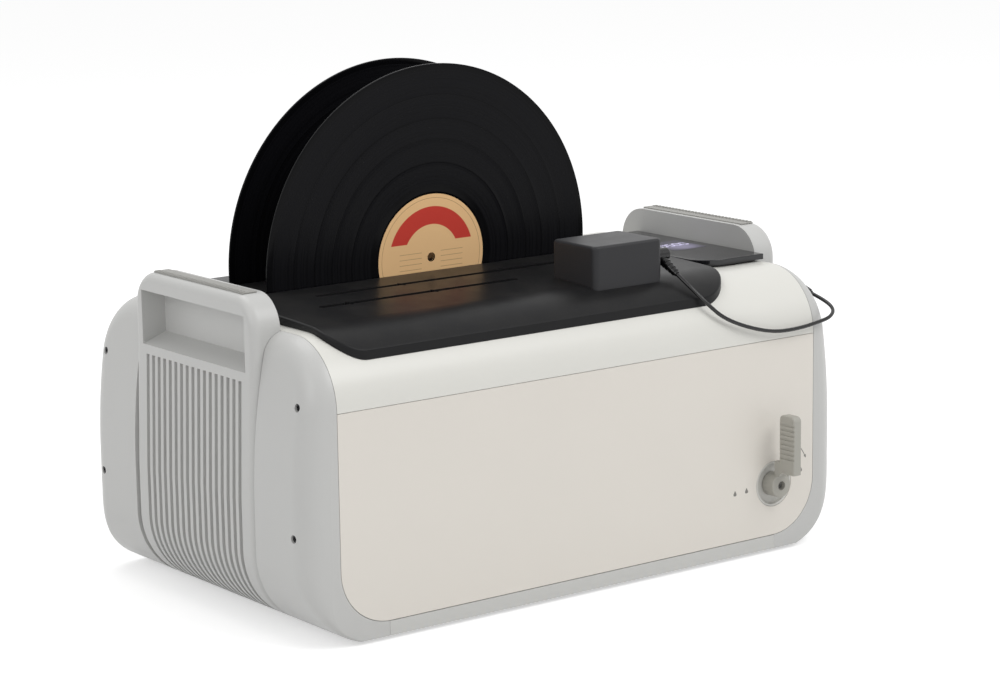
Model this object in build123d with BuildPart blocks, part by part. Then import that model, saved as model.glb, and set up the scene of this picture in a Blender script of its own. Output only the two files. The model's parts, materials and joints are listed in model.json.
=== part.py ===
"""Ultrasonic record cleaning machine.

A deep stainless bath in a two-tone moulded housing. A black deck lifts off the housing
and carries two twelve-inch records on grooved rollers, a motor box with its belt, and a
short low-voltage lead that plugs into the right end of the housing. Millimetres, +Z up,
origin on the table under the middle of the housing, front towards -Y.
"""

from build123d import *
import math
import os

os.makedirs("parts", exist_ok=True)

# ---------------------------------------------------------------- driving dimensions
# Housing
BODY_LENGTH = 505.0
BODY_DEPTH = 306.4
FOOT_HEIGHT = 3.0
COVER_TOP = 221.0
SHOULDER_R = 50.0
END_EDGE_R = 20.0
END_CORNER_R = 60.0
END_LEAN_R = 500.0
END_LEAN_START_Z = 98.0
WALL = 3.0
CAP_WALL = 6.0
SEAM_GAP = 0.4
SLEEVE_CLEARANCE = 0.4
PANEL_LENGTH = 451.0
PANEL_CORNER_R = 42.0
STRIP_LENGTH = 369.0
STRIP_TOP = 14.2

# Handles
HANDLE_HALF_WIDTH = 84.0
HANDLE_TOP = 246.0
HANDLE_FACE_X = 249.0
HANDLE_FACE_Z = 193.0
HANDLE_INNER_X = 226.0
HANDLE_FOOT_X = 214.0
HANDLE_CORNER_R = 26.0
HANDLE_WALL = 5.5
POCKET_HALF_WIDTH = 72.0
POCKET_BOTTOM = 192.0
POCKET_TOP = 232.0
RIB_COUNT = 17
RIB_PITCH = 8.1
RIB_GROOVE_WIDTH = 4.2
RIB_GROOVE_DEPTH = 2.8
RIB_TOP = 184.0

# Bath
BATH_LEFT = -186.0
BATH_RIGHT = 140.0
BATH_HALF_DEPTH = 96.0
BATH_FLOOR = 68.0
BATH_CORNER_R = 20.0
BATH_WALL = 1.5

# Deck
DECK_LEFT = -216.0
DECK_RIGHT = 160.0
DECK_HALF_DEPTH = 141.6
DECK_TOP = 228.5
DECK_THICKNESS = 5.0
DECK_CLEARANCE = 0.3
DECK_LEFT_CORNER_R = 26.0
DECK_RIGHT_CORNER_R = 38.0
SLOT_WIDTH = 6.0

# Records
RECORD_R = 150.8
RECORD_X = -24.7
RECORD_Z = 239.0
RECORD_THICKNESS = 2.0
LABEL_R = 50.0
SPINDLE_HOLE_R = 3.62
FRONT_RECORD_Y = 13.0
REAR_RECORD_Y = 66.0
FRONT_LEAN = 2.35
REAR_LEAN = 1.04

# Rollers
ROLLER_GROOVE_R = 8.0
ROLLER_FLANGE_R = 13.0
ROLLER_WIDTH = 12.0
ROLLER_RUNNING_GAP = 0.35
ROLLER_ANGLE = 62.0
SHAFT_R = 4.0
SHAFT_RUNNING_CLEARANCE = 0.05
SHAFT_HALF_LENGTH = 88.5
HANGER_Y = 83.5
HANGER_THICKNESS = 5.0

# Motor box, its belt and its lead
BOX_LEFT = 31.5
BOX_RIGHT = 98.0
BOX_FRONT = -121.0
BOX_BACK = -68.0
BOX_TOP = 256.5
BOX_WALL = 2.5
MOTOR_X = 62.0
MOTOR_Z = 241.5
MOTOR_R = 10.0
PULLEY_R = 7.0
BELT_Y = -76.0
BELT_WIDTH = 5.0
BELT_THICKNESS = 1.2
BELT_GAP = 0.3
LEAD_D = 3.0

# Control panel
PANEL_LEFT_X = 161.6
PANEL_RIGHT_X = 224.6
PANEL_FRONT_Y = -95.0
PANEL_REAR_Y = 62.0
PANEL_TOP = 227.2
PANEL_THICKNESS = 4.5
PANEL_BOW_R = 24.0

# Drain valve
VALVE_X = 184.0
VALVE_Z = 55.5
VALVE_RECESS_R = 16.2
ESCUTCHEON_R = 18.3
LEVER_HUB_R = 9.5
LEVER_HUB_PROUD = 9.4
LEVER_WIDTH = 8.0
LEVER_DEPTH = 17.0
BLADE_STANDOFF = 1.2
LEVER_TOP = 113.5

# ---------------------------------------------------------------- worked-out places
HALF_LENGTH = BODY_LENGTH / 2
HALF_DEPTH = BODY_DEPTH / 2
SHOULDER_Z = COVER_TOP - SHOULDER_R
SHOULDER_Y = HALF_DEPTH - SHOULDER_R
SEAM_X = PANEL_LENGTH / 2
CORNER_X = HALF_LENGTH - END_CORNER_R
CORNER_Z = 60.0
BLANK_DEPTH = 20.0
FOOT_EDGE_R = 4.0
FOOT_LOFT_LEVELS = (FOOT_HEIGHT, 5, 8, 13, 20, 30, 44, 60, 72)
DECK_R = SHOULDER_R + DECK_THICKNESS
ROLLER_DISTANCE = RECORD_R + ROLLER_GROOVE_R + ROLLER_RUNNING_GAP
ROLLER_DX = ROLLER_DISTANCE * math.sin(math.radians(ROLLER_ANGLE))
ROLLER_DZ = ROLLER_DISTANCE * math.cos(math.radians(ROLLER_ANGLE))
SHAFT_Z = RECORD_Z - ROLLER_DZ
DRIVE_X = RECORD_X + ROLLER_DX
IDLER_X = RECORD_X - ROLLER_DX


def end_x(z):
    """Distance of the end face from the middle of the housing at height z."""
    rise = max(z - END_LEAN_START_Z, 0)
    return HALF_LENGTH - END_LEAN_R + math.sqrt(END_LEAN_R**2 - rise**2)


def front_plane(y):
    """Plane facing the front at depth y. Its local axes are X and Z."""
    return Plane.XZ.offset(-y)


def span_box(x, y, z):
    """Box from (low, high) pairs along the three axes."""
    middle = [(low + high) / 2 for low, high in (x, y, z)]
    size = [high - low for low, high in (x, y, z)]
    return Pos(*middle) * Box(*size)


def outer_form(inset):
    """Outer form of the whole housing, drawn in by inset all round.

    The cross-section has broad round shoulders, the ends lean in towards the top and
    curve under at the foot, and one large radius runs round the edge of each end. The
    blank is made too deep, so that this radius runs out freely, and is cut off level.
    """
    half_depth = HALF_DEPTH - inset
    top = COVER_TOP - inset
    bottom = FOOT_HEIGHT + inset
    corner_r = END_CORNER_R - inset
    lean_r = END_LEAN_R - inset
    lean_rise = top + 10 - END_LEAN_START_Z
    lean_angle = math.degrees(math.asin(lean_rise / lean_r))
    with BuildPart() as form:
        with BuildSketch(Plane.YZ) as section:
            with Locations((0, (top - BLANK_DEPTH) / 2)):
                Rectangle(2 * half_depth, top + BLANK_DEPTH)
            fillet(section.vertices().group_by(Axis.Y)[-1], SHOULDER_R - inset)
        extrude(amount=HALF_LENGTH + 10, both=True)
        with BuildSketch(Plane.XZ):
            with BuildLine() as end:
                Line((0, -2 * BLANK_DEPTH), (CORNER_X, -2 * BLANK_DEPTH))
                Line((CORNER_X, -2 * BLANK_DEPTH), (CORNER_X, CORNER_Z - corner_r))
                CenterArc((CORNER_X, CORNER_Z), corner_r, -90, 90)
                Line((HALF_LENGTH - inset, CORNER_Z), (HALF_LENGTH - inset, END_LEAN_START_Z))
                CenterArc((HALF_LENGTH - END_LEAN_R, END_LEAN_START_Z), lean_r, 0, lean_angle)
                Line(end.vertices().sort_by(Axis.Y)[-1], (0, top + 10))
                mirror(about=Plane.YZ)
            make_face()
        extrude(amount=half_depth + 10, both=True, mode=Mode.INTERSECT)
        rim = [
            edge
            for edge in form.edges()
            if abs(edge.center().X) > CORNER_X + 1
            and not (abs(edge.center().Y) < 1 and edge.center().Z < top - 1)
        ]
        fillet(rim, END_EDGE_R - inset)
        split(bisect_by=Plane.XY.offset(bottom), keep=Keep.TOP)
    return form.part


def panel_outline(grow, top):
    """Front outline of the upright panels: square at the top, round at the lower corners."""
    bottom = STRIP_TOP - grow
    with BuildSketch(Plane.XZ) as outline:
        with Locations((0, (top + bottom) / 2)):
            Rectangle(PANEL_LENGTH + 2 * grow, top - bottom)
        fillet(outline.vertices().group_by(Axis.Y)[0], PANEL_CORNER_R + grow)
    return outline.sketch


def foot_half_length(z):
    """Half-length of the housing where the ends curve under."""
    return CORNER_X + math.sqrt(END_CORNER_R**2 - max(CORNER_Z - z, 0) ** 2)


def foot_edge_radius(z):
    """Plan radius of the upright edges, which fades out towards the trim strip."""
    share = min((z - FOOT_HEIGHT) / (CORNER_Z - FOOT_HEIGHT), 1)
    return FOOT_EDGE_R + (END_EDGE_R - FOOT_EDGE_R) * math.sin(share * math.pi / 2) ** 2


with BuildPart() as housing:
    add(outer_form(0))
    split(bisect_by=Plane.XY.offset(FOOT_LOFT_LEVELS[-1]), keep=Keep.TOP)
    for level in FOOT_LOFT_LEVELS:
        with BuildSketch(Plane.XY.offset(level)):
            RectangleRounded(2 * foot_half_length(level), BODY_DEPTH, foot_edge_radius(level))
    loft()
form = housing.part
form_wall = outer_form(WALL)
form_sleeve = outer_form(WALL + SLEEVE_CLEARANCE)
form_cap = outer_form(CAP_WALL)

# ---------------------------------------------------------------- base tray and feet
FLOOR_RANGE = (-STRIP_LENGTH / 2, STRIP_LENGTH / 2)
base_shell = form & span_box(FLOOR_RANGE, (-200, 200), (0, STRIP_TOP - SEAM_GAP))
FOOT_SPOTS = [(x, y) for x in (-165, 165) for y in (-125, 125)]

with BuildPart() as base_tray:
    add(base_shell)
    add(form_wall, mode=Mode.SUBTRACT)
    with BuildSketch(Plane.XY.offset(FOOT_HEIGHT)):
        with GridLocations(14, 0, 9, 1):
            SlotCenterToCenter(70, 5, rotation=90)
    extrude(amount=2 * WALL, mode=Mode.SUBTRACT)
base_tray.part.label = "base_tray"
export_step(base_tray.part, "parts/base_tray.step")

with BuildPart() as rubber_feet:
    with BuildSketch(Plane.XY):
        with Locations(*FOOT_SPOTS):
            Circle(12)
    extrude(amount=FOOT_HEIGHT, taper=-8)
rubber_feet.part.label = "rubber_feet"
export_step(rubber_feet.part, "parts/rubber_feet.step")

# ---------------------------------------------------------------- front and rear panels
with BuildPart() as front_panel:
    with BuildSketch(front_plane(-HALF_DEPTH + WALL)):
        add(panel_outline(-SEAM_GAP / 2, SHOULDER_Z - SEAM_GAP / 2))
    extrude(amount=WALL)
    # The recess round the drain lever.
    with BuildSketch(front_plane(-HALF_DEPTH)):
        with Locations((VALVE_X, VALVE_Z)):
            Circle(ESCUTCHEON_R)
    extrude(amount=-WALL, mode=Mode.SUBTRACT)
    # Stiffening ribs inside.
    with BuildSketch(front_plane(-HALF_DEPTH + WALL)):
        with GridLocations(82, 0, 4, 1):
            with Locations((-50, 92)):
                Rectangle(2, 120)
    extrude(amount=-4)
front_panel.part.label = "front_panel"
export_step(front_panel.part, "parts/front_panel.step")

FAN_X = 176.0
FAN_Z = 122.0
FAN_FRAME = 60.0
INLET_X = 150.0
INLET_Z = 48.0
SWITCH_X = 108.0
SPIGOT_X = 190.0
with BuildPart() as rear_panel:
    with BuildSketch(front_plane(HALF_DEPTH)):
        add(panel_outline(-SEAM_GAP / 2, SHOULDER_Z - SEAM_GAP / 2))
    extrude(amount=WALL)
    with BuildSketch(front_plane(HALF_DEPTH)):
        with Locations((FAN_X, FAN_Z)):
            with GridLocations(0, 6.5, 1, 8):
                SlotOverall(46, 3)
        with Locations((INLET_X, INLET_Z)):
            Rectangle(28, 20)
        with Locations((SWITCH_X, INLET_Z)):
            Rectangle(20, 14)
        with Locations((SPIGOT_X, INLET_Z)):
            Circle(9.2)
    extrude(amount=WALL, mode=Mode.SUBTRACT)
rear_panel.part.label = "rear_panel"
export_step(rear_panel.part, "parts/rear_panel.step")

# ---------------------------------------------------------------- top cover
cover_blank = form & span_box(
    (-SEAM_X + SEAM_GAP / 2, SEAM_X - SEAM_GAP / 2), (-200, 200), (SHOULDER_Z + SEAM_GAP / 2, 300)
)
BATH_X = (BATH_LEFT + BATH_RIGHT) / 2
BATH_LENGTH = BATH_RIGHT - BATH_LEFT
with BuildPart() as top_cover:
    add(cover_blank)
    add(form_wall, mode=Mode.SUBTRACT)
    with BuildSketch(Plane.XY.offset(COVER_TOP + 1)):
        with Locations((BATH_X, 0)):
            RectangleRounded(BATH_LENGTH, 2 * BATH_HALF_DEPTH, BATH_CORNER_R)
    extrude(amount=-WALL - 2, mode=Mode.SUBTRACT)
top_cover.part.label = "top_cover"
export_step(top_cover.part, "parts/top_cover.step")

# ---------------------------------------------------------------- end caps
SLEEVE_X = 209.0
SCREW_Y = 134.5
UPPER_SCREW_Z = 175.5
LOWER_SCREW_Z = 82.0
SCREW_HEAD_R = 2.7
SCREW_SINK = 3.5
SOCKET_Y = -104.0
SOCKET_Z = 198.0
SOCKET_R = 6.0
HANDLE_GAP = 0.4
sleeve_blank = form_sleeve & span_box((-HALF_LENGTH + 20, -SLEEVE_X), (-200, 200), (0, 300))
outer_hollow = form_cap & span_box((-300, -SLEEVE_X - WALL), (-200, 200), (0, 300))
lower_hollow = form_cap & span_box((-SLEEVE_X, 0), (-200, 200), (0, 300))

with BuildPart() as left_end_cap:
    add(form)
    with BuildSketch(Plane.XZ):
        with Locations((-HALF_LENGTH, COVER_TOP / 2)):
            Rectangle(HALF_LENGTH * 2 - STRIP_LENGTH - SEAM_GAP, 2 * COVER_TOP)
        add(panel_outline(SEAM_GAP / 2, 2 * COVER_TOP), mode=Mode.SUBTRACT)
    extrude(amount=200, both=True, mode=Mode.INTERSECT)
    add(sleeve_blank)
    add(outer_hollow, mode=Mode.SUBTRACT)
    add(lower_hollow, mode=Mode.SUBTRACT)
    # The handle's bay splits the cap into a front and a rear cheek.
    with BuildSketch(Plane.XZ):
        with Locations((-HALF_LENGTH, COVER_TOP / 2)):
            Rectangle(2 * (HALF_LENGTH - HANDLE_FOOT_X + HANDLE_GAP), 2 * COVER_TOP)
    extrude(amount=HANDLE_HALF_WIDTH + HANDLE_GAP, both=True, mode=Mode.SUBTRACT)
    for screw_z in (LOWER_SCREW_Z, UPPER_SCREW_Z):
        face_x = end_x(screw_z)
        with BuildSketch(Plane.YZ.offset(-face_x - 1)):
            with Locations((-SCREW_Y, screw_z), (SCREW_Y, screw_z)):
                Circle(SCREW_HEAD_R + 0.3)
        extrude(amount=SCREW_SINK + 1, mode=Mode.SUBTRACT)
        with BuildSketch(Plane.YZ.offset(-face_x)):
            with Locations((-SCREW_Y, screw_z), (SCREW_Y, screw_z)):
                Circle(1.8)
        extrude(amount=2 * CAP_WALL, mode=Mode.SUBTRACT)
left_end_cap.part.label = "left_end_cap"
export_step(left_end_cap.part, "parts/left_end_cap.step")

with BuildPart() as right_end_cap:
    add(left_end_cap.part.mirror(Plane.YZ))
    with BuildSketch(Plane.YZ.offset(HALF_LENGTH)):
        with Locations((SOCKET_Y, SOCKET_Z)):
            Circle(SOCKET_R + 0.2)
    extrude(amount=-25, mode=Mode.SUBTRACT)
right_end_cap.part.label = "right_end_cap"
export_step(right_end_cap.part, "parts/right_end_cap.step")

# ---------------------------------------------------------------- handles
def handle_outline(inset, inner_x, top):
    """Side view of a handle: up the ribbed face, over the grip bar and down the back."""
    corner_r = END_CORNER_R - inset
    foot_angle = math.degrees(math.acos((inner_x - CORNER_X) / corner_r))
    with BuildSketch(Plane.XZ) as outline:
        with BuildLine() as face:
            CenterArc((CORNER_X, CORNER_Z), corner_r, -foot_angle, foot_angle)
            Line((HALF_LENGTH - inset, CORNER_Z), (HALF_LENGTH - inset, END_LEAN_START_Z))
            Line((HALF_LENGTH - inset, END_LEAN_START_Z), (HANDLE_FACE_X - inset, HANDLE_FACE_Z))
            Line((HANDLE_FACE_X - inset, HANDLE_FACE_Z), (HANDLE_FACE_X - inset, top))
            Line((HANDLE_FACE_X - inset, top), (inner_x, top))
            Line((inner_x, top), face.vertices().sort_by(Axis.Y)[0])
        make_face()
    return mirror(outline.sketch, about=Plane.YZ)


POCKET_BACK_X = HANDLE_INNER_X + WALL
with BuildPart() as left_handle:
    with BuildSketch(Plane.XZ):
        add(handle_outline(0, HANDLE_FOOT_X, HANDLE_TOP))
        # Above the end of the cover only the grip bar stands up.
        with Locations((-HANDLE_INNER_X + 30, HANDLE_TOP)):
            Rectangle(60, 2 * (HANDLE_TOP - POCKET_BOTTOM), mode=Mode.SUBTRACT)
    extrude(amount=HANDLE_HALF_WIDTH, both=True)
    corners = left_handle.edges().filter_by(Axis.X).group_by(Axis.Z)[-1]
    fillet(corners, HANDLE_CORNER_R)
    crest = left_handle.faces().filter_by(Axis.X).sort_by(Axis.X)[0].edges().sort_by(Axis.Z)[-3:]
    fillet(crest, 7)
    with BuildSketch(Plane.XZ):
        add(handle_outline(HANDLE_WALL, HANDLE_FOOT_X - 10, RIB_TOP))
    extrude(amount=HANDLE_HALF_WIDTH - HANDLE_WALL, both=True, mode=Mode.SUBTRACT)
    # Finger pocket, with a floor that slopes down towards the hand.
    with BuildSketch(Plane.XZ):
        with BuildLine():
            Polyline(
                (-POCKET_BACK_X, POCKET_TOP),
                (-POCKET_BACK_X, POCKET_BOTTOM + 6),
                (-HALF_LENGTH - 5, POCKET_BOTTOM - 4),
                (-HALF_LENGTH - 5, POCKET_TOP),
                close=True,
            )
        make_face()
    extrude(amount=POCKET_HALF_WIDTH, both=True, mode=Mode.SUBTRACT)
    # Upright grooves that follow the face round under the foot.
    with BuildSketch(Plane.XZ) as groove:
        add(handle_outline(-5, HANDLE_FOOT_X - 10, RIB_TOP))
        add(handle_outline(RIB_GROOVE_DEPTH, HANDLE_FOOT_X - 20, RIB_TOP + 1), mode=Mode.SUBTRACT)
    for index in range(RIB_COUNT):
        groove_y = (index - (RIB_COUNT - 1) / 2) * RIB_PITCH
        extrude(
            groove.sketch.moved(Location((0, groove_y, 0))),
            amount=RIB_GROOVE_WIDTH / 2,
            both=True,
            mode=Mode.SUBTRACT,
        )
left_handle.part.label = "left_handle"
export_step(left_handle.part, "parts/left_handle.step")

with BuildPart() as right_handle:
    add(left_handle.part.mirror(Plane.YZ))
right_handle.part.label = "right_handle"
export_step(right_handle.part, "parts/right_handle.step")

# Soft pads let into the top of the grip bars, with a comb of ridges along the outer edge.
PAD_HALF_LENGTH = 62.0
PAD_INNER_X = 230.5
PAD_OUTER_X = 243.5
PAD_THICKNESS = 0.8
PAD_RIDGES = 29
with BuildPart() as left_grip_pad:
    with BuildSketch(Plane.XY.offset(HANDLE_TOP)):
        with Locations((-(PAD_INNER_X + PAD_OUTER_X) / 2, 0)):
            RectangleRounded(PAD_OUTER_X - PAD_INNER_X, 2 * PAD_HALF_LENGTH, 1)
    extrude(amount=PAD_THICKNESS)
    with BuildSketch(Plane.XY.offset(HANDLE_TOP)):
        with Locations((-PAD_OUTER_X + 2, 0)):
            with GridLocations(0, 4.2, 1, PAD_RIDGES):
                Rectangle(4, 2.2)
    extrude(amount=PAD_THICKNESS + 0.6)
left_grip_pad.part.label = "left_grip_pad"
export_step(left_grip_pad.part, "parts/left_grip_pad.step")

with BuildPart() as right_grip_pad:
    add(left_grip_pad.part.mirror(Plane.YZ))
right_grip_pad.part.label = "right_grip_pad"
export_step(right_grip_pad.part, "parts/right_grip_pad.step")

# Cap screws sit sunk in the cheeks.
with BuildPart() as left_cap_screws:
    for screw_z in (LOWER_SCREW_Z, UPPER_SCREW_Z):
        seat_x = end_x(screw_z) - SCREW_SINK
        with BuildSketch(Plane.YZ.offset(-seat_x)):
            with Locations((-SCREW_Y, screw_z), (SCREW_Y, screw_z)):
                Circle(SCREW_HEAD_R)
        extrude(amount=-2)
        with BuildSketch(Plane.YZ.offset(-seat_x - 2)):
            with Locations((-SCREW_Y, screw_z), (SCREW_Y, screw_z)):
                Rectangle(3.6, 0.8)
                Rectangle(0.8, 3.6)
        extrude(amount=1.2, mode=Mode.SUBTRACT)
        with BuildSketch(Plane.YZ.offset(-seat_x)):
            with Locations((-SCREW_Y, screw_z), (SCREW_Y, screw_z)):
                Circle(1.5)
        extrude(amount=8)
left_cap_screws.part.label = "left_cap_screws"
export_step(left_cap_screws.part, "parts/left_cap_screws.step")

with BuildPart() as right_cap_screws:
    add(left_cap_screws.part.mirror(Plane.YZ))
right_cap_screws.part.label = "right_cap_screws"
export_step(right_cap_screws.part, "parts/right_cap_screws.step")

# ---------------------------------------------------------------- bath and what hangs on it
FLANGE_WIDTH = 7.0
FLANGE_TOP = COVER_TOP - WALL - 1.0
OUTLET_X = 118.0
OUTLET_Y = -62.0
PIPE_R = 7.0
PIPE_BORE_R = 5.5
with BuildPart() as bath:
    with BuildSketch(Plane.XY.offset(BATH_FLOOR - BATH_WALL)):
        with Locations((BATH_X, 0)):
            RectangleRounded(
                BATH_LENGTH + 2 * BATH_WALL, 2 * (BATH_HALF_DEPTH + BATH_WALL), BATH_CORNER_R + BATH_WALL
            )
    extrude(amount=FLANGE_TOP - BATH_FLOOR + BATH_WALL)
    fillet(bath.faces().sort_by(Axis.Z)[0].edges(), 8 + BATH_WALL)
    with BuildSketch(Plane.XY.offset(FLANGE_TOP - BATH_WALL)):
        with Locations((BATH_X, 0)):
            RectangleRounded(
                BATH_LENGTH + 2 * FLANGE_WIDTH, 2 * (BATH_HALF_DEPTH + FLANGE_WIDTH), BATH_CORNER_R + FLANGE_WIDTH
            )
    extrude(amount=BATH_WALL)
    with BuildPart(mode=Mode.PRIVATE) as water_space:
        with BuildSketch(Plane.XY.offset(BATH_FLOOR)):
            with Locations((BATH_X, 0)):
                RectangleRounded(BATH_LENGTH, 2 * BATH_HALF_DEPTH, BATH_CORNER_R)
        extrude(amount=FLANGE_TOP - BATH_FLOOR + 1)
        fillet(water_space.faces().sort_by(Axis.Z)[0].edges(), 8)
    add(water_space.part, mode=Mode.SUBTRACT)
    with Locations((OUTLET_X, OUTLET_Y, BATH_FLOOR)):
        Cylinder(PIPE_BORE_R, 6, mode=Mode.SUBTRACT)
bath.part.label = "bath"
export_step(bath.part, "parts/bath.step")

with BuildPart() as bath_gasket:
    with BuildSketch(Plane.XY.offset(FLANGE_TOP)):
        with Locations((BATH_X, 0)):
            RectangleRounded(
                BATH_LENGTH + 2 * FLANGE_WIDTH, 2 * (BATH_HALF_DEPTH + FLANGE_WIDTH), BATH_CORNER_R + FLANGE_WIDTH
            )
            RectangleRounded(
                BATH_LENGTH, 2 * BATH_HALF_DEPTH, BATH_CORNER_R, mode=Mode.SUBTRACT
            )
    extrude(amount=1.0)
bath_gasket.part.label = "bath_gasket"
export_step(bath_gasket.part, "parts/bath_gasket.step")

with BuildPart() as transducers:
    with Locations((BATH_X - 110, 0, BATH_FLOOR - BATH_WALL), (BATH_X, 0, BATH_FLOOR - BATH_WALL)):
        with Locations((0, -45, 0), (0, 45, 0)):
            Cone(15, 22.5, 18, align=(Align.CENTER, Align.CENTER, Align.MAX))
            with Locations((0, 0, -18)):
                Cylinder(15, 22, align=(Align.CENTER, Align.CENTER, Align.MAX))
transducers.part.label = "transducers"
export_step(transducers.part, "parts/transducers.step")

# ---------------------------------------------------------------- drain
VALVE_FRONT_Y = -HALF_DEPTH + 2 * WALL
VALVE_REAR_Y = -84.0
VALVE_BODY_R = 13.0
PORT_Y = VALVE_FRONT_Y + 36.0
PORT_START = 10.0
PORT_REACH = 14.0
with BuildPart() as drain_valve:
    with BuildSketch(front_plane(VALVE_REAR_Y)):
        with Locations((VALVE_X, VALVE_Z)):
            RegularPolygon(VALVE_BODY_R, 8)
            Circle(PIPE_BORE_R, mode=Mode.SUBTRACT)
    extrude(amount=VALVE_REAR_Y - VALVE_FRONT_Y - 14)
    with BuildSketch(front_plane(VALVE_FRONT_Y + 14)):
        with Locations((VALVE_X, VALVE_Z)):
            Circle(9)
            Circle(SHAFT_R + SHAFT_RUNNING_CLEARANCE, mode=Mode.SUBTRACT)
    extrude(amount=14)
    with BuildSketch(Plane.YZ.offset(VALVE_X - PORT_START)) as port:
        with Locations((PORT_Y, VALVE_Z)):
            Circle(PIPE_R + 2)
    extrude(amount=-PORT_REACH)
    with BuildSketch(Plane.YZ.offset(VALVE_X)):
        with Locations((PORT_Y, VALVE_Z)):
            Circle(PIPE_BORE_R)
    extrude(amount=-PORT_START - PORT_REACH, mode=Mode.SUBTRACT)
drain_valve.part.label = "drain_valve"
export_step(drain_valve.part, "parts/drain_valve.step")

PIPE_DIP_Z = 40.0
with BuildPart() as drain_pipe:
    with BuildLine() as drain_path:
        FilletPolyline(
            (OUTLET_X, OUTLET_Y, BATH_FLOOR - BATH_WALL),
            (OUTLET_X, OUTLET_Y, PIPE_DIP_Z),
            (OUTLET_X, PORT_Y, PIPE_DIP_Z),
            (OUTLET_X, PORT_Y, VALVE_Z),
            (VALVE_X - PORT_START - PORT_REACH, PORT_Y, VALVE_Z),
            radius=7.4,
        )
    with BuildSketch(Plane.XY.offset(BATH_FLOOR - BATH_WALL)):
        with Locations((OUTLET_X, OUTLET_Y)):
            Circle(PIPE_R)
            Circle(PIPE_BORE_R, mode=Mode.SUBTRACT)
    sweep()
drain_pipe.part.label = "drain_pipe"
export_step(drain_pipe.part, "parts/drain_pipe.step")

with BuildPart() as outlet_pipe:
    with BuildLine() as outlet_path:
        FilletPolyline(
            (VALVE_X, VALVE_REAR_Y, VALVE_Z),
            (VALVE_X, VALVE_REAR_Y + 60, VALVE_Z),
            (SPIGOT_X, HALF_DEPTH - 60, INLET_Z),
            (SPIGOT_X, HALF_DEPTH - WALL - 4, INLET_Z),
            radius=30,
        )
    with BuildSketch(Plane(origin=(VALVE_X, VALVE_REAR_Y, VALVE_Z), z_dir=(0, 1, 0))):
        Circle(PIPE_R)
        Circle(PIPE_BORE_R, mode=Mode.SUBTRACT)
    sweep()
outlet_pipe.part.label = "outlet_pipe"
export_step(outlet_pipe.part, "parts/outlet_pipe.step")

# Hose spigot at the back. It reaches as far behind the housing as the lever does in front.
SPIGOT_R = 6.0
SPIGOT_BORE_R = 4.2
SPIGOT_BACKING_R = 8.8
SPIGOT_FLANGE_R = 12.0
SPIGOT_FLANGE_Y = HALF_DEPTH + 3.0
SPIGOT_END_Y = HALF_DEPTH + LEVER_HUB_PROUD + BLADE_STANDOFF + LEVER_DEPTH
with BuildPart() as hose_spigot:
    with BuildSketch(Plane(origin=(SPIGOT_X, 0, INLET_Z))):
        with BuildLine():
            Polyline(
                (SPIGOT_BORE_R, HALF_DEPTH - WALL - 4),
                (SPIGOT_BACKING_R, HALF_DEPTH - WALL - 4),
                (SPIGOT_BACKING_R, HALF_DEPTH),
                (SPIGOT_FLANGE_R, HALF_DEPTH),
                (SPIGOT_FLANGE_R, SPIGOT_FLANGE_Y),
                (SPIGOT_R, SPIGOT_FLANGE_Y),
                (SPIGOT_R, SPIGOT_END_Y - 1),
                (SPIGOT_R - 1, SPIGOT_END_Y),
                (SPIGOT_BORE_R, SPIGOT_END_Y),
                close=True,
            )
        make_face()
    revolve(axis=Axis((SPIGOT_X, 0, INLET_Z), (0, 1, 0)))
hose_spigot.part.label = "hose_spigot"
export_step(hose_spigot.part, "parts/hose_spigot.step")

# Dished plate round the lever's hub, with a rim behind the panel.
STEM_HOLE_R = 5.0
with BuildPart() as valve_escutcheon:
    with BuildSketch(front_plane(VALVE_FRONT_Y)):
        with Locations((VALVE_X, VALVE_Z)):
            Circle(ESCUTCHEON_R + 2.5)
    extrude(amount=WALL)
    with BuildSketch(front_plane(-HALF_DEPTH + WALL)):
        with Locations((VALVE_X, VALVE_Z)):
            Circle(ESCUTCHEON_R - 0.2)
    extrude(amount=WALL)
    with BuildSketch(front_plane(-HALF_DEPTH)):
        with Locations((VALVE_X, VALVE_Z)):
            Circle(VALVE_RECESS_R)
    extrude(amount=-3.5, mode=Mode.SUBTRACT)
    fillet(valve_escutcheon.faces().sort_by(Axis.Y)[0].edges(), 0.6)
    with BuildSketch(front_plane(VALVE_FRONT_Y)):
        with Locations((VALVE_X, VALVE_Z)):
            Circle(STEM_HOLE_R)
    extrude(amount=2 * WALL, mode=Mode.SUBTRACT)
valve_escutcheon.part.label = "valve_escutcheon"
export_step(valve_escutcheon.part, "parts/valve_escutcheon.step")

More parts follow.
